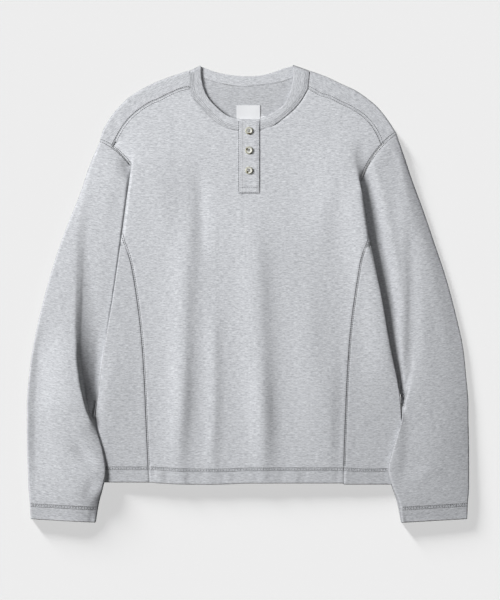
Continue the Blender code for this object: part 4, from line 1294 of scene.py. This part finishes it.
def zigzag(line, read, gap, pitch=4.6):
    # Short threads that cross between two rows, one way and then the other.
    points = evenly(line, pitch)
    sides = beside(points, gap / 2), beside(points, -gap / 2)
    places = []
    for n in range(len(points) - 1):
        a, b = sides[n % 2][n], sides[1 - n % 2][n + 1]
        start, end, centre = read(*a), read(*b), read(*((a + b) / 2))
        if None in (start, end, centre) or (end[0] - start[0]).length > 2.5 * gap * mm:
            continue
        up = centre[1]
        way = end[0] - start[0]
        places.append((centre[0], (way - way.dot(up) * up).normalized(), up))
    return places


def sewCloth():
    # Every stitch of the seams, the hem, the cuffs and the back, by the name of its joined mesh.
    seams, hems, cuffs, backs = [], [], [], []
    bodyTop = surfaceUnder(("front", "side_left", "side_right"))
    bodyUnder = surfaceUnder(("back", "side_left", "side_right"), above=False)
    shoulderTop = surfaceUnder(("front", "back"))
    below = surfaceUnder(("back", "side_left", "side_right", "sleeve_left", "sleeve_right"), above=False)
    pitch, gap, midRow = thread["pitch"], hem["rows"][1] - hem["rows"][0], sum(hem["rows"]) / 2
    across = np.linspace(-262, 254, 170)
    hemRow = lambda up: np.stack((across, hemLine(across) - up), axis=-1)
    for up in hem["rows"]:
        for read in (bodyTop, bodyUnder):
            hems += stitchPlaces(hemRow(up), read, pitch)
    hems += zigzag(hemRow(midRow), bodyTop, gap)
    for side, sign in sideSign.items():
        armSeam = [(sign * x, d) for x, d in armholeLine[side]]
        seen = [(x, d) for x, d in armSeam if abs(x) > body[side](d) + 0.5]
        seams += twin(shoulderLine[side], shoulderTop)
        seams += twin(seen, surfaceUnder(("front", "back", "sleeve_" + side)))
        seams += twin([p for p in sideSeamLine[side] if p[1] < 652], bodyTop, gap=2.6)
        outer, inner = np.array(cuffLine(side))
        cuffRow = lambda up: outer - (0, up) + (inner - outer) * np.linspace(0, 1, 30)[:, None]
        sleeveTops = [surfaceUnder(("sleeve_" + side,), above) for above in (True, False)]
        for up in hem["rows"]:
            for read in sleeveTops:
                cuffs += stitchPlaces(cuffRow(up), read, pitch)
        cuffs += zigzag(cuffRow(midRow), sleeveTops[0], gap)
        backs += twin([(sign * float(backSeam[side](d)), d) for d in np.linspace(290, 672, 60)], below)
        backs += twin([(x, d) for x, d in armSeam if d < 280], below)
    return {"seamStitches": seams, "hemStitches": hems, "cuffStitches": cuffs, "backStitches": backs}


stitches = {name: stitchMesh(name, places, (thread["length"], thread["width"], thread["height"]),
                             darkThread)
            for name, places in sewCloth().items()}
bandTop, stripTop, backTop = (surfaceUnder((name,)) for name in ("neckband", "placket", "back"))
bandSeam = [(-97, 14), (-96.5, 26), *neckLine, (97, 26), (98.4, 14)]
bandEdgeShadeLine = beside([(x, d) for x, d in bandSeam if x > 30], 0.7)      # the right stretch, where dark thread paints the shade of the band's edge
bandRows = [place for inset in (1.9, 4.4, 7.0) for place in stitchPlaces(beside(bandSeam, inset), bandTop,
                                                                         2.4)]
alongStrip = np.linspace(placket["top"] + 3, placket["bottom"] - 4, 60)
acrossStrip = np.linspace(placket["left"] + 1.5, placket["right"] - 1.5, 20)


def stripRows(*xs):
    # Stitches down the placket at each x.
    return [place for x in xs for place in
            stitchPlaces(np.stack((np.full(60, x), alongStrip), axis=-1), stripTop, 3.0)]


lowRows = [place for down in (placket["row"], placket["lowRow"]) for place in
           stitchPlaces(np.stack((acrossStrip, np.full(20, down)), axis=-1), stripTop, 3.0)]
neckBack = [(-x, float(backNeck["left"](x)) + 1.3) for x in (84, 73, 60, 47, 31, 15)] + [
    (x, float(backNeck["right"](x)) + 1.3) for x in (0, 17, 34, 53, 66, 84)]
for name, places, size, finish in (
        # painted shade along the band's right edge, as a dense line of dark thread
        ("bandEdgePaintedShade", stitchPlaces(bandEdgeShadeLine, bandTop, 1.7), (2.2, 0.9, 0.5), darkThread),
        ("bandStitches", bandRows, (2.0, 0.55, 0.4), midThread),
        ("placketStitches", lowRows, (2.4, 0.7, 0.5), darkThread),
        ("placketPaleStitches", stripRows(placket["right"] - 1.0, placket["left"] + 3.0,
                                          placket["right"] - 3.8),
         (2.4, 0.6, 0.4), paleThread),
        ("placketEdgeStitches", stripRows(placket["left"] + 0.2), (2.6, 1.0, 0.5), darkThread),
        ("backNeckStitches", stitchPlaces(neckBack, backTop, 3.0), (2.3, 0.5, 0.35), paleThread)):
    stitches[name] = stitchMesh(name, places, size, finish)
print("stitches are sewn:", sum(len(s.data.polygons) for s in stitches.values()), "faces")


# Buttons.

button = {"radius": 5.9, "height": 2.4, "hole": 0.8, "spacing": 1.5, "downs": (108.5, 140.0, 172.5)}


def makeButton(number, down):
    # A turned four-hole button with a raised round rim and a dished middle.
    r, h = button["radius"], button["height"]
    base = placketHeight(down) + placketHalf + 0.1
    profile = [(0, 1.75), (1.6, 1.77), (2.8, 1.82), (3.5, 1.95), (3.95, 2.15), (4.4, h - 0.08),
               (4.8, h - 0.04), (5.25, h - 0.16),
               (r - 0.3, h - 0.42), (r - 0.04, 1.6), (r, 1.3), (r - 0.15, 0.85), (r - 0.7, 0.4),
               (4.4, 0.1), (3.4, 0), (0, 0)]
    disc = bmesh.new()
    line = [disc.verts.new((x * mm, 0, z * mm)) for x, z in profile]
    for a, b in zip(line, line[1:]):
        disc.edges.new((a, b))
    bmesh.ops.spin(disc, geom=disc.verts[:] + disc.edges[:], axis=(0, 0, 1), cent=(0, 0, 0), dvec=(0, 0, 0),
                   angle=2 * math.pi, steps=48, use_merge=True, use_duplicate=False)
    bmesh.ops.remove_doubles(disc, verts=disc.verts, dist=1e-6)
    bmesh.ops.recalc_face_normals(disc, faces=disc.faces)
    mesh = bpy.data.meshes.new("button%d" % number)
    disc.to_mesh(mesh)
    disc.free()
    piece = link("button%d" % number, mesh)
    cutter = bmesh.new()
    for quarter in range(4):
        turn = math.pi * (quarter / 2 + 0.25)
        spot = Vector((button["spacing"] * math.cos(turn), button["spacing"] * math.sin(turn), 1)) * mm
        bmesh.ops.create_cone(
            cutter, cap_ends=True, segments=20, radius1=button["hole"] * mm, radius2=button["hole"] * mm,
            depth=4 * mm, matrix=Matrix.Translation(spot))
    holes = bpy.data.meshes.new("holes")
    cutter.to_mesh(holes)
    cutter.free()
    holesPiece = link("holes", holes)
    cut = piece.modifiers.new("holes", "BOOLEAN")
    cut.operation = "DIFFERENCE"
    cut.object = holesPiece
    graph = bpy.context.evaluated_depsgraph_get()
    finished = bpy.data.meshes.new_from_object(piece.evaluated_get(graph))
    piece.modifiers.clear()
    piece.data = finished
    bpy.data.objects.remove(holesPiece)
    place = Matrix.Translation(Vector(toWorld(0.0, down, base)))
    finished.transform(place)
    finished.shade_smooth()
    finished.materials.clear()
    finished.materials.append(makeButtonFinish(number, down))
    tie = bmesh.new()
    for across in (-1, 1):
        for offset in (-0.25, 0.25):
            spot = Vector((0, across * button["spacing"] * 0.7 + offset, 1.75)) * mm
            bmesh.ops.create_uvsphere(
                tie, u_segments=8, v_segments=6, radius=0.5,
                matrix=Matrix.Translation(spot) @ Matrix.Diagonal((3.0 * mm, 0.55 * mm, 0.6 * mm, 1)))
    tieMesh = bpy.data.meshes.new("buttonThread%d" % number)
    tie.to_mesh(tieMesh)
    tie.free()
    tieMesh.transform(place)
    tieMesh.shade_smooth()
    tieMesh.materials.append(darkThread)
    return piece, link("buttonThread%d" % number, tieMesh)


buttons = {"button_%d" % n: makeButton(n, down) for n, down in enumerate(button["downs"], 1)}
print("buttons are made")

# Every piece hung on the root body, with the solids it stands for hidden.

for node, piece in pieces.items():
    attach(piece, "root")
    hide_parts(node)
for node, (disc, tie) in buttons.items():
    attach(disc, "root")
    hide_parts(node)
    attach(tie, "root")
for piece in stitches.values():
    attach(piece, "root")

# Floor, light and camera.

floorSize = 60.0
sheetOfPaper = bmesh.new()
bmesh.ops.create_grid(sheetOfPaper, x_segments=2, y_segments=2, size=floorSize / 2)
floorMesh = bpy.data.meshes.new("floor")
sheetOfPaper.to_mesh(floorMesh)
sheetOfPaper.free()
floor = link("floor", floorMesh)
paper, _, paperShader = newFinish("palePaper")
# dark in itself, so that it throws little light on the garment; its own lamps make it look pale
paperShader.inputs["Base Color"].default_value = (0.07, 0.07, 0.07, 1)
paperShader.inputs["Roughness"].default_value = 0.95
paperShader.inputs["Specular IOR Level"].default_value = 0.0
floorMesh.materials.append(paper)
floor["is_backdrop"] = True

light = {
    "key": 662.0, "from": (-0.93, 0.37), "elevation": 30, "distance": 6.5, "size": 2.4, "fill": 0.03,
    "horizon": 0.86,
    "head": 1.8, "headAt": (0.0, 0.78, 0.92), "headSize": 0.5,
    "floorTop": 26.9, "floorKey": 66.0, "floorFrom": (-0.6, 0.8), "floorElevation": 9.6,
    "floorSoftness": 10,
}


def aim(piece, plan, elevation, distance=0.0):
    # Turns a light towards the garment from this side and height.
    x, y = np.array(plan) / math.hypot(*plan)
    rise = math.radians(elevation)
    way = Vector((x * math.cos(rise), y * math.cos(rise), math.sin(rise)))
    piece.location = way * distance
    piece.rotation_euler = way.to_track_quat("Z", "Y").to_euler()


def addLight(name, kind, receivers):
    lamp = bpy.data.lights.new(name, kind)
    piece = link(name, lamp)
    piece.light_linking.receiver_collection = receivers
    return lamp, piece


garment, ground = bpy.data.collections.new("garment"), bpy.data.collections.new("ground")
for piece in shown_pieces():
    garment.objects.link(piece)
ground.objects.link(floor)
key, keyPiece = addLight("key", "AREA", garment)
key.energy = light["key"]
key.size = light["size"]
aim(keyPiece, light["from"], light["elevation"], light["distance"])
# over the shoulders, so the tone falls off towards the hem
head, headPiece = addLight("head", "AREA", garment)
head.energy = light["head"]
head.size = light["headSize"]
headPiece.location = light["headAt"]
headPiece.rotation_euler = (Vector(light["headAt"]) - Vector((0, 0.15, 0))).to_track_quat("Z",
                                                                                          "Y").to_euler()
over = addLight("overFloor", "SUN", ground)[0]      # straight down, so its shadow stays under the garment
over.energy = light["floorTop"]
across, acrossPiece = addLight("acrossFloor", "SUN", ground)
across.energy = light["floorKey"]
across.angle = math.radians(light["floorSoftness"])
aim(acrossPiece, light["floorFrom"], light["floorElevation"])
world = bpy.data.worlds.new("studio")
world.use_nodes = True
sky = world.node_tree
sky.nodes["Background"].inputs["Color"].default_value = (1, 1, 1, 1)
outward = addNode(sky, "TexCoord")
heightOf = addNode(sky, "SeparateXYZ")
sky.links.new(outward.outputs["Generated"], heightOf.inputs[0])
glow = addNode(sky, "MapRange", {
    "From Min": 0.1, "From Max": 0.25, "To Min": light["horizon"], "To Max": light["fill"]})
sky.links.new(heightOf.outputs[2], glow.inputs["Value"])
sky.links.new(glow.outputs[0], sky.nodes["Background"].inputs["Strength"])
bpy.context.scene.world = world

lens = {"focal": 100.0, "above": (0.0026, -0.0103), "height": 2.70}
camera = bpy.data.cameras.new("overhead")
camera.lens = lens["focal"]
camera.sensor_width = 36.0
cameraPiece = link("overhead", camera)
cameraPiece.location = (*lens["above"], lens["height"])
bpy.context.scene.camera = cameraPiece
bpy.context.scene.view_settings.view_transform = "Standard"
